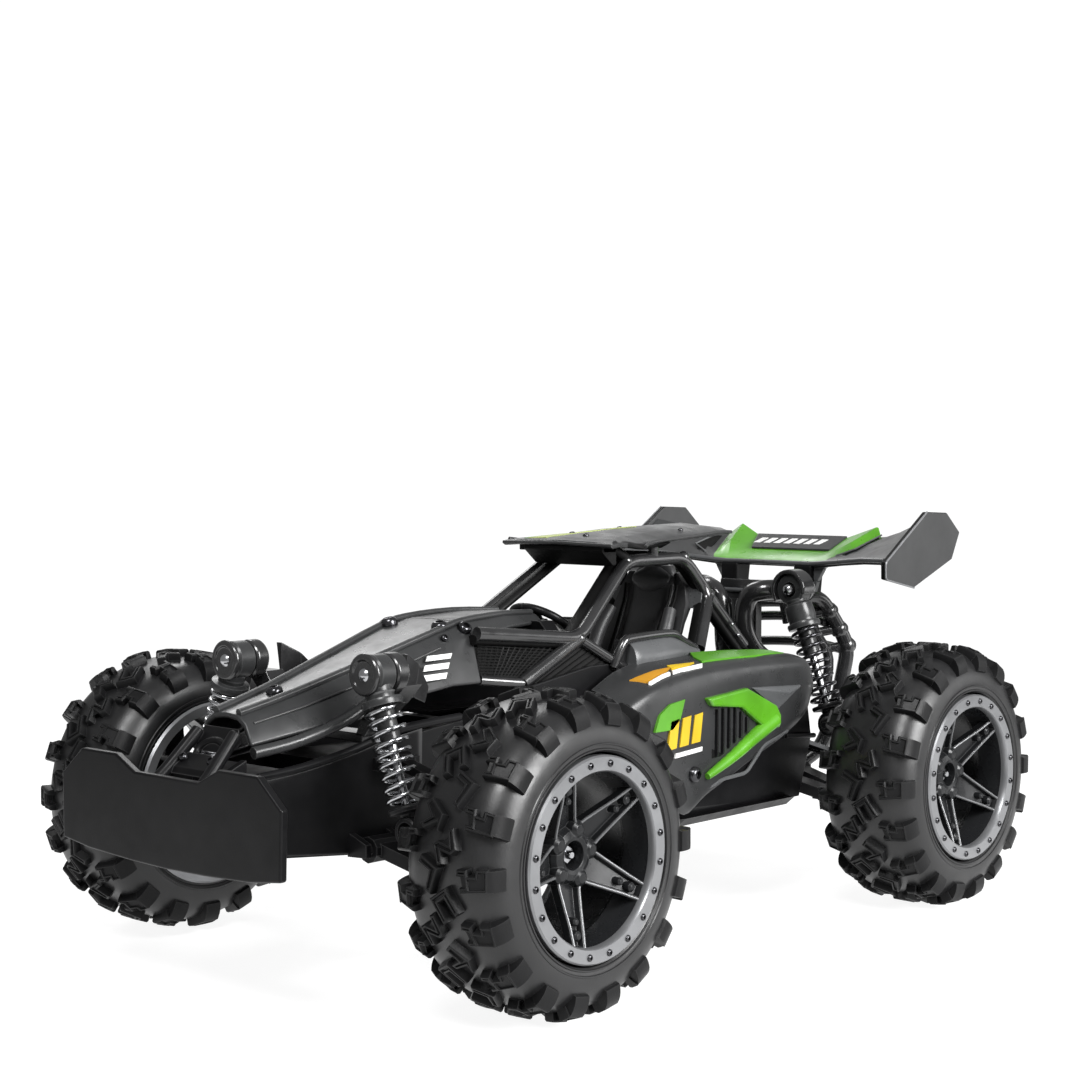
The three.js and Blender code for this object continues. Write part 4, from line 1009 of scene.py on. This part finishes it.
def pods():
    bm = bmesh.new()
    shell(bm, pod_rows(), 1.4, (0, 30, 50))
    pair("pod_shell", bm, SHELL, stands_for="side_pod", sharp=50)
    bm = bmesh.new()
    hull(bm, [(25.5, 4, 31), (25.5, 76, 31), (36, 8, 29.2), (36.4, 70, 29.2), (39.2, 14, 33), (39.2, 52, 36),
              (38.6, 60, 47.5), (36.4, 76, 46.5), (39.6, 18, 42), (39.6, 44, 50), (25.5, 0, 62),
              (37.6, -6, 58), (25.5, 78, 66), (35.6, 74, 62), (38.2, 62, 62), (25.5, 64, 28.4),
              (25.5, 12, 28.4)])
    tube(bm, ((39.0, 59, 48.2), (38.2, 68, 47.4), (36.8, 77, 46.6)), 0.8, 8)
    pair("pod_lower", bm, BLACK, bevel=0.9, segments=3)


SIDE_X = 41.2  # the plane of the side panel
SIDE_ON = Matrix(((0, 0, 1, 0), (1, 0, 0, 0), (0, 1, 0, 0), (0, 0, 0, 1)))  # u is Y, v is Z, depth is X


def panel_piece(name, finish, low, high, outline, bevel=0.0):
    """A flat piece on the side panel; low and high are measured from its plane."""
    bm = bmesh.new()
    slab(bm, outline, SIDE_ON, SIDE_X + low, SIDE_X + high)
    pair(name, bm, finish, bevel=bevel, segments=3)


def chevron():
    panel_piece("chevron_upper", GREEN, -1.4, 1.7, [(17.2, 63.0), (35.6, 64.4), (49.6, 58.4), (51.8, 55.4),
                                                    (51.2, 51.8), (43, 53.0), (33, 59.2), (19.4, 60.6)], 0.8)
    bm = bmesh.new()
    spine = [(SIDE_X + 0.5, y, z) for y, z in ((49.6, 54.2), (40, 50.4), (30, 45.8), (18.2, 41.4))]
    tube(bm, smooth(spine, 5), lambda t: 2.25 - 1.3 * t ** 2, 14)
    pair("chevron_lower", bm, GREEN)


def louvres():
    panel_piece("louvre_back", DEEP, -1.6, -0.15, [(20.6, 60.2), (32, 59.4), (42.4, 53.4), (25, 46.2),
                                                   (21, 46.0)])
    bm = bmesh.new()
    for i in range(7):
        y = 22.6 + i * 2.75
        top = 59.6 - max(y - 31, 0) * 0.62
        low = 46.4 + max(y - 24, 0) * 0.42
        if top - low < 2:
            break
        hull(bm, [(SIDE_X + dx, y + dy, z) for z in (low, top) for dx,
                  dy in ((-0.6, -0.5), (0.9, -0.2), (0.5, 0.75), (-0.6, 0.9))])
    pair("louvres", bm, BLACK, bevel=0.25)


def pod_edges():
    """The grey gusset behind the chevron, the line along the panel's lower edge, and its screw."""
    bm = bmesh.new()
    hull(bm, [(SIDE_X + dx, y, z) for dx, y, z in ((-1, 38.6, 64.4), (-1, 64.0, 63.2), (-1, 50.8, 56.6),
                                                   (0.6, 38.8, 64.2), (0.2, 63.6, 63), (0.6, 51, 57),
                                                   (2.0, 55.6, 61.6))])
    pair("pod_gusset", bm, SHELL_LIGHT, bevel=0.5, segments=3)
    bm = bmesh.new()
    lip = ((40.0, 20, 37.6), (40.6, 26, 39.6), (40.8, 37.5, 40.2), (40.6, 46, 47.2), (40.2, 58, 50))
    tube(bm, rounded(lip, 2), 0.55, 8)
    pair("pod_lip", bm, SHELL_LIGHT)
    bm = bmesh.new()
    screw(bm, (SIDE_X + 0.1, 13, 42.5), (1, 0, 0), 2.2)
    pair("pod_screw", bm, SCREW)


def pod_marks():
    """A leaf, three slanted bars and a line, in place of the lettering."""
    panel_piece("leaf_mark", GREEN, -0.68, 0.12, [(-4.2, 55.6), (-2.2, 60), (2.2, 62.6), (8.6, 63.4),
                                                  (6.6, 58.2), (3.2, 55.6)])
    for index in range(3):
        y, rise = 1.2 + 5.2 * index, 0.4 * index
        bar = [(y, 50.2 + rise), (y + 3.8, 50.5 + rise), (y + 5.0, 58.4 + rise), (y + 1.4, 57.9 + rise)]
        panel_piece(f"slash_mark_{index}", YELLOW, -0.68, 0.12, bar)
    panel_piece("line_mark", WHITE, -0.68, 0.12, [(4.4, 47.8), (16.2, 48.6), (16.4, 49.8), (4.8, 49.0)])


def on_slope(x, y, lift):
    """A point above the slope between a pod's top edge and its shoulder."""
    for (y0, top0, edge0, _), (y1, top1, edge1, _) in zip(POD, POD[1:]):
        if y1 >= y:
            break
    t = (y - y0) / (y1 - y0)
    top, edge = Vector(top0).lerp(Vector(top1), t), Vector(edge0).lerp(Vector(edge1), t)
    s = (x - top.x) / (edge.x - top.x)
    fall = max(x - edge.x + 2.4, 0)
    return Vector((x, y, top.y + (edge.y - top.y) * s + 0.75 - 0.16 * fall ** 2 + lift))


def shoulder_marks():
    """Streaks on the slope above the shoulder."""
    streaks = {
        "orange": ([(33.2, -5.4), (34.6, 3.6), (35.6, 9.2), (36.4, 6.6), (37.0, -2.0)], ORANGE),
        "yellow": ([(34.4, 9.2), (36.2, 19.0), (37.0, 14.6), (36.4, 8.8)], YELLOW),
        "white_low": ([(37.4, -2.4), (37.4, 6.4), (38.0, 6.2), (37.9, -2.0)], WHITE),
        "white_high": ([(37.4, 7.6), (38.0, 20.4), (38.7, 19.4), (38.0, 7.4)], WHITE),
        "green": ([(29.4, 26), (32.9, 23), (36.6, 22), (37.2, 46), (34.6, 64), (31, 62), (30.2, 44)], GREEN),
    }
    for name, (outline, finish) in streaks.items():
        corners = [Vector(p) for p in outline]
        path = [a.lerp(b, k / 4) for a, b in zip(corners, corners[1:] + corners[:1]) for k in range(4)]
        middle = sum(corners, Vector((0, 0))) / len(corners)
        bm = bmesh.new()
        rows = [[bm.verts.new(on_slope(*middle.lerp(p, share), lift)) for p in path]
                for lift, share in ((-0.7, 1.0), (0.12, 1.0), (0.2, 0.5))]
        grid_faces(bm, rows, True)
        bm.faces.new(rows[0][::-1])
        peak = bm.verts.new(on_slope(*middle, 0.2))
        for a, b in zip(rows[-1], rows[-1][1:] + rows[-1][:1]):
            bm.faces.new((a, b, peak))
        pair(f"streak_{name}", bm, finish)


pods()
chevron()
louvres()
pod_edges()
pod_marks()
shoulder_marks()


def doors():
    """A rounded rail over a bulged grey panel, between the cage and each pod."""
    panel = [  # y, low z, high z, bulge
        (3.3, 71.9, 77.4, 0.5), (4.2, 71.9, 78.4, 1.5), (12, 72.5, 78.8, 2.2), (20, 73.0, 79.0, 2.2),
        (25, 73.5, 77.8, 1.7), (29, 73.9, 76.0, 1.1), (32.6, 74.2, 74.9, 0.4),
    ]
    rail = ((24.6, -1.6, 71.8), (25.4, -0.4, 75.6), (25.8, 1.6, 78.6), (25.8, 5, 79.3), (25.8, 21.5, 79.6),
            (25.6, 26.6, 77.6), (25.2, 33.6, 74.6))
    rows = []
    for y, low, high, bulge in panel:
        half = (high - low) / 2
        section = [(24.6, low), (24.6, high - 0.4), (25.8, high), (27.2 + bulge * 0.35, high - half * 0.45),
                   (27.4 + bulge, low + half * 0.7), (27.6 + bulge * 0.9, low - 0.2)]
        path = smooth([(x, 0, z) for x, z in section], 3)
        rows.append([(p.x, y, p.z) for p in path])
    columns = [smooth([row[i] for row in rows], 3) for i in range(len(rows[0]))]
    bm = bmesh.new()
    rings(bm, [[column[i] for column in columns] for i in range(len(columns[0]))])
    pair("door", bm, SHELL_LIGHT, bevel=0.35, sharp=50)
    bm = bmesh.new()
    tube(bm, smooth(rail, 4), 1.25, 14)
    prism(bm, (23.2, 24.8), ((-1.6, 71), (0.6, 79), (22, 79.6), (26.6, 77.6), (34, 74), (34, 72.6)))
    pair("door_rail", bm, CAGE)


doors()


# Cockpit

def seat():
    """A padded panel with piped edges, inside a shell with pierced shoulders."""
    panel = [  # z, front y, half width
        (62, 33.5, 8.4), (66, 34.6, 8.0), (72, 36.4, 7.4), (78, 39, 7.1), (84, 42, 7.4), (87, 43.6, 7.7),
        (91.5, 44.6, 7.9), (95, 45.2, 7.3), (97, 46, 5.8),
    ]

    def padded(half, y, z, depth):
        row = []
        for a in circle(28):
            c, s = math.cos(a), math.sin(a)
            squared = (abs(c) ** 0.5 * math.copysign(1, c), abs(s) ** 0.7 * math.copysign(1, s))
            row.append((half * squared[0], y + depth * (1 + squared[1]), z))
        return row

    bm = bmesh.new()
    wing = [[(7.6 + 6.2 * w, y - 1.0 + 2.6 * w, z), (7.2 + 6.2 * w, y + 3.8, z), (6.6, y + 3.8, z),
             (7.2, y + 1.6, z)] for z, y, w in ((62, 32, 0.9), (70, 35, 1.05), (78, 38.6, 1.1),
                                                (86, 43, 0.95), (91, 45, 0.7), (95, 46, 0.25))]
    rings(bm, wing)
    bolster = ((11.2, 8, 62.5), (12.2, 24, 64), (12.8, 32, 70), (12.4, 36, 78), (11.2, 40, 84.6))
    tube(bm, smooth(bolster, 5), lambda t: 2.7 - 0.9 * t, 14)
    mirror(bm)
    rings(bm, [padded(half, y, z, 1.9) for z, y, half in panel])
    pad = []
    for k in range(9):
        t = k / 8
        swell = math.sin(math.pi * min(max(t, 0.04), 0.96)) ** 0.5
        z, y = 89.6 + 7.0 * t, 44.3 + 1.3 * t
        pad.append(padded(7.3 * swell, y - 1.3 * swell, z, 1.5 * swell))
    rings(bm, pad)
    cushion = [[(10 * math.cos(a) * s, 20 + 15 * math.sin(a) * s, z) for a in circle(24)] for z,
               s in ((58.8, 0.96), (61, 1.0), (62.6, 0.94), (63.2, 0.7))]
    rings(bm, cushion)
    make("seat_shell", bm, SEAT, stands_for=["driver_seat"], bevel=0.4, sharp=55)
    bm = bmesh.new()
    for out in (0.3, 1.9):
        piping = [((half + out), y - 0.5 + out * 0.45, z) for z, y, half in panel[:-2]]
        tube(bm, smooth(piping, 3), 0.42, 8)
    mirror(bm)
    make("seat_piping", bm, DEEP, slot="seat_black")
    bm = bmesh.new()
    for bar in (((8, 91), (13.4, 91.4), (17, 89.6), (17.3, 85.2), (12, 84.6), (8, 84.6)),
                ((14.4, 86), (17.2, 87), (18.2, 74), (16.4, 73.6)),
                ((8, 78.4), (10.4, 78), (12.4, 84.9), (8, 85))):
        hull(bm, [(x, y + (z - 85) * 0.22, z) for x, z in bar for y in (46.4, 48.4)])
    mirror(bm)
    make("seat_shoulders", bm, SHELL_LIGHT, slot="seat_black", bevel=0.6, segments=3)


def cockpit_wheel():
    bm = bmesh.new()
    centre = Vector((0, -3.6, 82.7))
    lean = 1.0
    axis = Vector((0, math.cos(lean), math.sin(lean)))
    place = facing(centre, axis)
    ring = [place @ Vector((8.7 * math.cos(a), 8.7 * math.sin(a), 0)) for a in circle(40, True)]
    tube(bm, ring, 1.15, 12)
    for angle in (20, 160, 270):
        a = math.radians(angle)
        tube(bm, [centre - axis * 0.8, place @ Vector((8.4 * math.cos(a), 8.4 * math.sin(a), 0))], 0.8, 8,
             flat=1.9)
    plate = [(4.2 * math.cos(a), 4.2 * math.sin(a)) for a in circle(6)]
    slab(bm, plate, place, -2.0, 0.4, inset=0.8)
    tube(bm, [centre, (0, -12.4, 77.6)], 1.6, 14)
    make("cockpit_wheel", bm, BLACK, stands_for=["cockpit_steering_wheel"], bevel=0.3)


def dash():
    bm = bmesh.new()
    hull(bm, ((-20, -18, 76), (20, -18, 76), (-20, -13, 76), (20, -13, 76), (-13, -19, 84.6), (13, -19, 84.6),
              (-12, -12.5, 84.4), (12, -12.5, 84.4), (-21, -16, 68), (21, -16, 68)))
    for x in (-8, 8):
        lathe(bm, [(0, 0), (3.0, 0), (3.2, 1.2), (2.7, 1.6), (2.5, 1.0), (0, 1.0)], (x, -13.4, 80.4),
              (0, 1, 0.1), 20)
    make("dash_panel", bm, BLACK, bevel=0.6)
    bm = bmesh.new()
    prism(bm, (22.6, 23.6), ((-34, 69), (-10, 72.6), (30, 72.6), (56, 72), (56, 58.4), (-36, 58.4)))
    box(bm, [22.2, 14], (-34, 56), (58.3, 59.4))
    mirror(bm)
    make("cockpit_walls", bm, BLACK, bevel=0.3)


seat()
cockpit_wheel()
dash()


# Rear wing

def across_wing(x):
    return [(x, 103.6, 95.8), (x, 105.2, 97.3), (x, 114, 100.2), (x, 123.5, 103.6)]


WING = [  # stations from the middle to the left tip, each from the front edge to the back
    across_wing(0), across_wing(16.5),
    [(18.4, 103.4, 95.9), (19.4, 105.0, 97.7), (23.4, 116, 102.6), (26.6, 127, 107.6)],
    [(20.6, 102.9, 96.1), (22.4, 105.4, 97.9), (26.0, 113.6, 100.2), (29.5, 124.2, 104.4)],
    [(30, 100.4, 97.0), (30.2, 102.8, 98.9), (31, 111, 101.6), (33.6, 121.4, 104.7)],
    [(40, 97.0, 98.0), (40, 100.6, 99.9), (40, 109, 102.8), (41, 117, 106.4)],
    [(50.1, 93.6, 98.2), (50.1, 98.2, 101.0), (50.1, 104, 104.6), (50.1, 110.6, 109.0)],
]


def wing_blade():
    """A ridged blade, green between the ridges."""
    bm = bmesh.new()
    shell(bm, [[(-x, y, z) for x, y, z in row] for row in WING[:0:-1]] + WING, 1.5, (0, 112, 60))
    for face in bm.faces:
        middle = face.calc_center_median()
        painted_to = 21.0 + (middle.y - 104) * 0.36
        if abs(middle.x) < painted_to and middle.z > 96.2:
            face.material_index = 1
    make("wing_blade", bm, PLATE, GREEN, stands_for=["rear_wing"], slot="wing_green", bevel=0.4, segments=3)


def wing_marks():
    """A dark panel with a row of slanted bars, in place of the words."""
    bm = bmesh.new()
    panel = ((-12.4, 112.4, 99.75), (18.0, 112.4, 99.75), (17.4, 123.4, 103.65), (-17.8, 123.4, 103.65))
    hull(bm, [(x, y, z + dz) for x, y, z in panel for dz in (0, 0.7)])
    make("wing_insert", bm, SHELL, bevel=0.25)
    bm = bmesh.new()
    slope = facing((0, 118.2, 102.5), (0, -0.35, 0.94), (1, 0, 0))
    for i in range(7):
        u = -14 + i * 3.9
        slab(bm, [(u, -2.6), (u + 2.3, -2.6), (u + 3.2, 1.6), (u + 0.9, 1.6)], slope, -0.6, 0.12)
    make("wing_marks", bm, WHITE)


def wing_edges():
    bm = bmesh.new()
    recess = ((26.0, 107.4, 98.9), (30.4, 121.6, 104.1), (31, 107.4, 100.8), (28.8, 104.8, 99.4))
    hull(bm, [(x, y, z + dz) for x, y, z in recess for dz in (-0.2, 0.25)])
    pair("wing_recess", bm, DEEP, slot="body_shell")
    groove = ((25.4, 104.6, 98.8), (31, 106.8, 101.0), (31, 122, 105.0))
    for side, sign in SIDES.items():
        bm = bmesh.new()
        tube(bm, [(sign * x, y, z) for x, y, z in groove], 0.3, 8)
        lip = [(sign * x, y - 0.1, z + 0.3) for (x, y, z), *_ in WING]
        tube(bm, lip, 0.75, 10)
        if side == "left":  # and a straight bar across the middle
            tube(bm, [(-x, y, z) for x, y, z in lip[:2]] + [lip[1]], 0.75, 10)
        make(f"wing_lines_{side}", bm, SHELL_LIGHT)


def endplates():
    outline = [(114.5, 112.8), (126.2, 112.4), (134, 106.2), (129.5, 97.9), (107.4, 89.9), (91.5, 93),
               (91.4, 98)]
    bm = bmesh.new()
    slab(bm, outline, SIDE_ON, 50.1, 52, edge=1)
    pair("wing_endplate", bm, PLATE, DEEP, bevel=0.4, segments=3)
    bm = bmesh.new()
    # A thin silver line along the front and lower edges: a painted highlight.
    tube(bm, rounded([(51.9, y, z) for y, z in outline[:1] + outline[:3:-1]], 1.0, 3), 0.3, 8)
    pair("wing_endplate_highlight_line", bm, RING, slot="body_shell")


def wing_struts():
    bm = bmesh.new()
    prism(bm, (11, 17.4), ((102.6, 84.6), (108.6, 84.6), (102.6, 95.6), (110.6, 98.2)))
    mirror(bm)
    make("wing_struts", bm, BLACK, bevel=0.7, segments=3)
    bm = bmesh.new()
    web = [[(x, y, z) for y in (104.6, 106.4) for x, z in edge] for edge in (((17, 96.6), (24.4, 97.2)),
                                                                             ((17, 94.2), (21, 94.6)),
                                                                             ((17, 90.6), (18.6, 90.6)),
                                                                             ((17, 87), (17.5, 87)))]
    for upper, lower in zip(web, web[1:]):
        hull(bm, upper + lower)
    mirror(bm)
    make("wing_gussets", bm, SHELL_LIGHT, bevel=0.3)

wing_blade()
wing_marks()
wing_edges()
endplates()
wing_struts()


# Rear cage

def rear_cage():
    bm = bmesh.new()
    outer = ((14, 101, 85.5), (16.4, 109.5, 85.6), (18.2, 115.5, 77.7), (19.6, 121, 69.2), (17, 118, 48),
             (14.6, 113.4, 37), (11, 108, 32.6))
    tube(bm, rounded(outer, 5, 5), 2.3, 12, flat=1.1)
    inner = ((11, 101, 84), (12.2, 107.4, 81.4), (13.4, 112.2, 73.4), (15.6, 116, 65), (15.2, 113.4, 50))
    tube(bm, smooth(inner, 5), 1.6, 10)
    for y, z, x in ((113.0, 80.9, 17.4), (117.0, 75.0, 18.6), (120.4, 69.6, 19.4)):
        knuckle = [(0, -2.8), (1.8, -2.5), (2.7, -1.2), (2.7, 1.2), (1.8, 2.5), (0, 2.8)]
        lathe(bm, knuckle, (x, y, z), (1, 0, 0), 16)
        tube(bm, [(x, y, z), (x - 5, y - 4.6, z - 1.2)], 1.5, 10)
    mirror(bm)
    for z, y, x, bow in ((81.5, 110.8, 15.6, 2.6), (77.0, 113.8, 16.2, 2.2), (68.5, 118.2, 18.6, 1.8)):
        rung = [(-x, y, z), (-x * 0.6, y + bow * 0.6, z + 0.8), (0, y + bow, z + 1.2),
                (x * 0.6, y + bow * 0.6, z + 0.8), (x, y, z)]
        tube(bm, smooth(rung, 5), 1.55, 10)
    tube(bm, [(0, 114.6, 76), (0, 112.4, 83)], 1.2, 8)
    tube(bm, [(-16, 105.5, 85), (16, 105.5, 85)], 1.8, 12)
    box(bm, (-12, 12), (105.5, 111), (30, 33))
    make("rear_cage_tubes", bm, CAGE, stands_for=["rear_cage"], sharp=50)


rear_cage()


# Shock towers

def hood_ring(bm, x, z, inner, outer, start, end, y_front, y_back):
    """A curved guard round part of an eye whose axis runs along Y."""
    loops = []
    steps = 16
    for i in range(steps + 1):
        angle = math.radians(start + (end - start) * i / steps)
        c, s = math.cos(angle), math.sin(angle)
        soft = (outer - inner) * 0.35
        section = [(inner, y_front), (outer - soft, y_front), (outer, y_front + soft), (outer, y_back),
                   (inner, y_back)]
        loops.append([(x + r * c, y, z + r * s) for r, y in section])
    rings(bm, loops)


def front_tower():
    bm = bmesh.new()
    x, y, z = SHOCKS["front"]["top"]
    lathe(bm, [(0, y + 3), (1.8, y + 3), (1.8, y - 2.6), (4.6, y - 2.6), (5.2, y - 3), (5.2, y - 3.6),
               (4.7, y - 4.1), (3.7, y - 4.1), (3.4, y - 3.7), (0, y - 3.6)], (x, 0, z), (0, 1, 0), 40)
    lathe(bm, [(0, y + 3.2), (4.4, y + 3.2), (4.9, y + 3.8), (4.9, y + 6.6), (4.3, y + 7.4), (0, y + 7.6)],
          (x, 0, z), (0, 1, 0), 40)
    leg = [[(a, b, c) for b in (-85.5, -79.5) for a, c in level]
           for level in (((12, 60), (15.4, 60)), ((14.2, 64.4), (19.0, 64.4)), ((18.2, 69), (25, 69)),
                         ((21.6, 73.6), (29.6, 73.6)))]
    for lower, upper in zip(leg, leg[1:]):
        hull(bm, lower + upper)
    fin = [trio for trio in (((22.4, -79.6, 80.6), (24.4, -79.6, 80.6), (22.6, -79.6, 70)),
                             ((21, -74, 77.6), (22.8, -74, 77.6), (21, -74, 69)),
                             ((18.8, -68, 71.2), (20.2, -68, 71.2), (18.8, -68, 67)))]
    for near, far in zip(fin, fin[1:]):
        hull(bm, near + far)
    mirror(bm)
    box(bm, (-14.6, 14.6), (-85.5, -79.5), (58.6, 60.8))
    make("front_tower", bm, CAGE, stands_for=["front_shock_tower"], bevel=0.4, segments=3)


def rear_tower():
    bm = bmesh.new()
    x, y, z = SHOCKS["rear"]["top"]
    arch = ((21, 94.6, 88.6), (17.4, 93.8, 88.6), (13.4, 90.4, 88.4), (10.4, 87.4, 88.2), (6.8, 86, 86.8),
            (4.4, 86, 82.6), (4.3, 86.4, 76), (6, 89, 70), (9.2, 94.6, 64), (9.6, 95, 58.6))
    tube(bm, smooth(arch, 5), lambda t: 3.15 - 0.8 * max(t - 0.4, 0) / 0.6, 16)
    hood_ring(bm, x, z, 4.9, 6.2, -10, 220, y - 3.6, y + 2.4)
    lathe(bm, [(0, y + 8), (2.4, y + 8), (3.2, y + 7), (4.4, y + 4.2), (4.4, y + 3.3), (0, y + 3.3)],
          (x, 0, z), (0, 1, 0), 28)
    lathe(bm, [(0, y - 3.5), (1.8, y - 3.5), (1.8, 91), (0, 91)], (x, 0, z), (0, 1, 0), 32)
    mirror(bm)
    box(bm, (-11.6, 11.6), (93, 97), (57.8, 61))
    hull(bm, [(a, b, c) for a, c in ((-4.8, 60), (4.8, 60), (-4.8, 85), (4.8, 85)) for b in (91.4, 94.4)])
    hull(bm, [(a, b, c) for a, c in ((-4.8, 84.6), (4.8, 84.6), (-9.6, 87), (9.6, 87), (-9.2, 91), (9.2, 91))
              for b in (91.4, 94.4)])
    make("rear_tower", bm, CAGE, stands_for=["rear_shock_tower"], bevel=0.4, segments=3)
    bm = bmesh.new()
    tube(bm, [(-8.4, 91.2, 87.6), (8.4, 91.2, 87.6)], 0.7, 10)
    make("rear_tower_strip", bm, SHELL_LIGHT, slot="frame_black")


def towers():
    front_tower()
    rear_tower()
    bm = bmesh.new()
    for end, front in (("front", 3.5), ("rear", 3.3)):
        x, y, z = SHOCKS[end]["top"]
        lathe(bm, [(0, 0), (1.7, 0), (1.7, 0.3), (1.3, 0.8), (0.7, 1.1), (0, 1.2)], (x, y - front, z),
              (0, -1, 0), 20)
    mirror(bm)
    make("tower_screws", bm, STEEL)


towers()


# Chassis trim over the tub

def chassis_trim():
    bm = bmesh.new()
    rim = ((13.4, -117.5, 53.4), (13.8, -104, 54.4), (14.6, -88, 57.2), (15.2, -72.5, 60.8), (15.6, -52, 62))
    tube(bm, smooth(rim, 4), 1.1, 10)
    hull(bm, ((12.6, -118, 34.4), (13.6, -118, 53), (15.6, -66, 29), (16.0, -66, 60.6), (14.6, -118, 35),
              (14.2, -118, 52), (12, -60, 28), (12, -60, 60))[:4] + ((12.9, -117.6, 36), (13.6, -117.6, 51)))
    mirror(bm)
    make("tub_rim", bm, BLACK, bevel=0.25)


chassis_trim()


# Floor and light

def studio_air():
    """A backdrop that is white to the camera, and lights the toy brightly only from behind it."""
    world = bpy.data.worlds.new("studio")
    world.use_nodes = True
    nodes, links = world.node_tree.nodes, world.node_tree.links
    place = nodes.new("ShaderNodeTexCoord")
    facing_back = nodes.new("ShaderNodeVectorMath")
    facing_back.operation = "DOT_PRODUCT"
    facing_back.inputs[1].default_value = (-0.669, 0.743, 0)
    fade = nodes.new("ShaderNodeMapRange")
    fade.inputs["From Min"].default_value = 0.88
    fade.inputs["From Max"].default_value = 0.93
    fade.inputs["To Min"].default_value = 0.3
    fade.inputs["To Max"].default_value = 1.05
    links.new(place.outputs["Generated"], facing_back.inputs[0])
    links.new(facing_back.outputs["Value"], fade.inputs["Value"])
    seen = nodes.new("ShaderNodeLightPath")
    strength = nodes.new("ShaderNodeMath")
    strength.operation = "MAXIMUM"
    links.new(seen.outputs["Is Camera Ray"], strength.inputs[0])
    links.new(fade.outputs["Result"], strength.inputs[1])
    nodes["Background"].inputs["Color"].default_value = (1, 1, 1, 1)
    links.new(strength.outputs["Value"], nodes["Background"].inputs["Strength"])
    scene.world = world


FLOOR_RADIUS = 450


def stage():
    bm = bmesh.new()
    lathe(bm, [(0, 0), (FLOOR_RADIUS, 0), (FLOOR_RADIUS, -1), (0, -1)], (0, 0, 0), (0, 0, 1), 128)
    paper = look("floor_white", (0.2, 0.2, 0.2), 0.7, mottle=0.004, specular=0.1)
    paper.node_tree.nodes["Principled BSDF"].inputs["Emission Color"].default_value = (1, 1, 1, 1)
    paper.node_tree.nodes["Principled BSDF"].inputs["Emission Strength"].default_value = 0.9
    mesh = finished("floor", bm, paper)
    floor = bpy.data.objects.new("floor", mesh)
    floor.location.z = -0.0002
    scene.collection.objects.link(floor)
    scene.view_settings.view_transform = "Standard"
    studio_air()
    lights = [  # name, place, target, size, watts
        ("key", (0.5, -0.9, 1.2), (0, 0, 0.05), 0.5, 18),
        ("side", (1.3, 0.1, 0.62), (0, 0, 0.05), 0.8, 40),
        ("rim", (-0.9, 0.5, 0.9), (0, 0, 0.05), 0.5, 4),
        ("sheen", (1.0, 1.15, 0.3), (0, 0, 0.05), 0.7, 3),
    ]
    for name, place, target, size, watts in lights:
        light = bpy.data.lights.new(name, "AREA")
        light.shape = "DISK"
        light.size = size
        light.energy = watts
        lamp = bpy.data.objects.new(name, light)
        lamp.location = place
        lamp.rotation_euler = (Vector(target) - Vector(place)).to_track_quat("-Z", "Y").to_euler()
        scene.collection.objects.link(lamp)


stage()
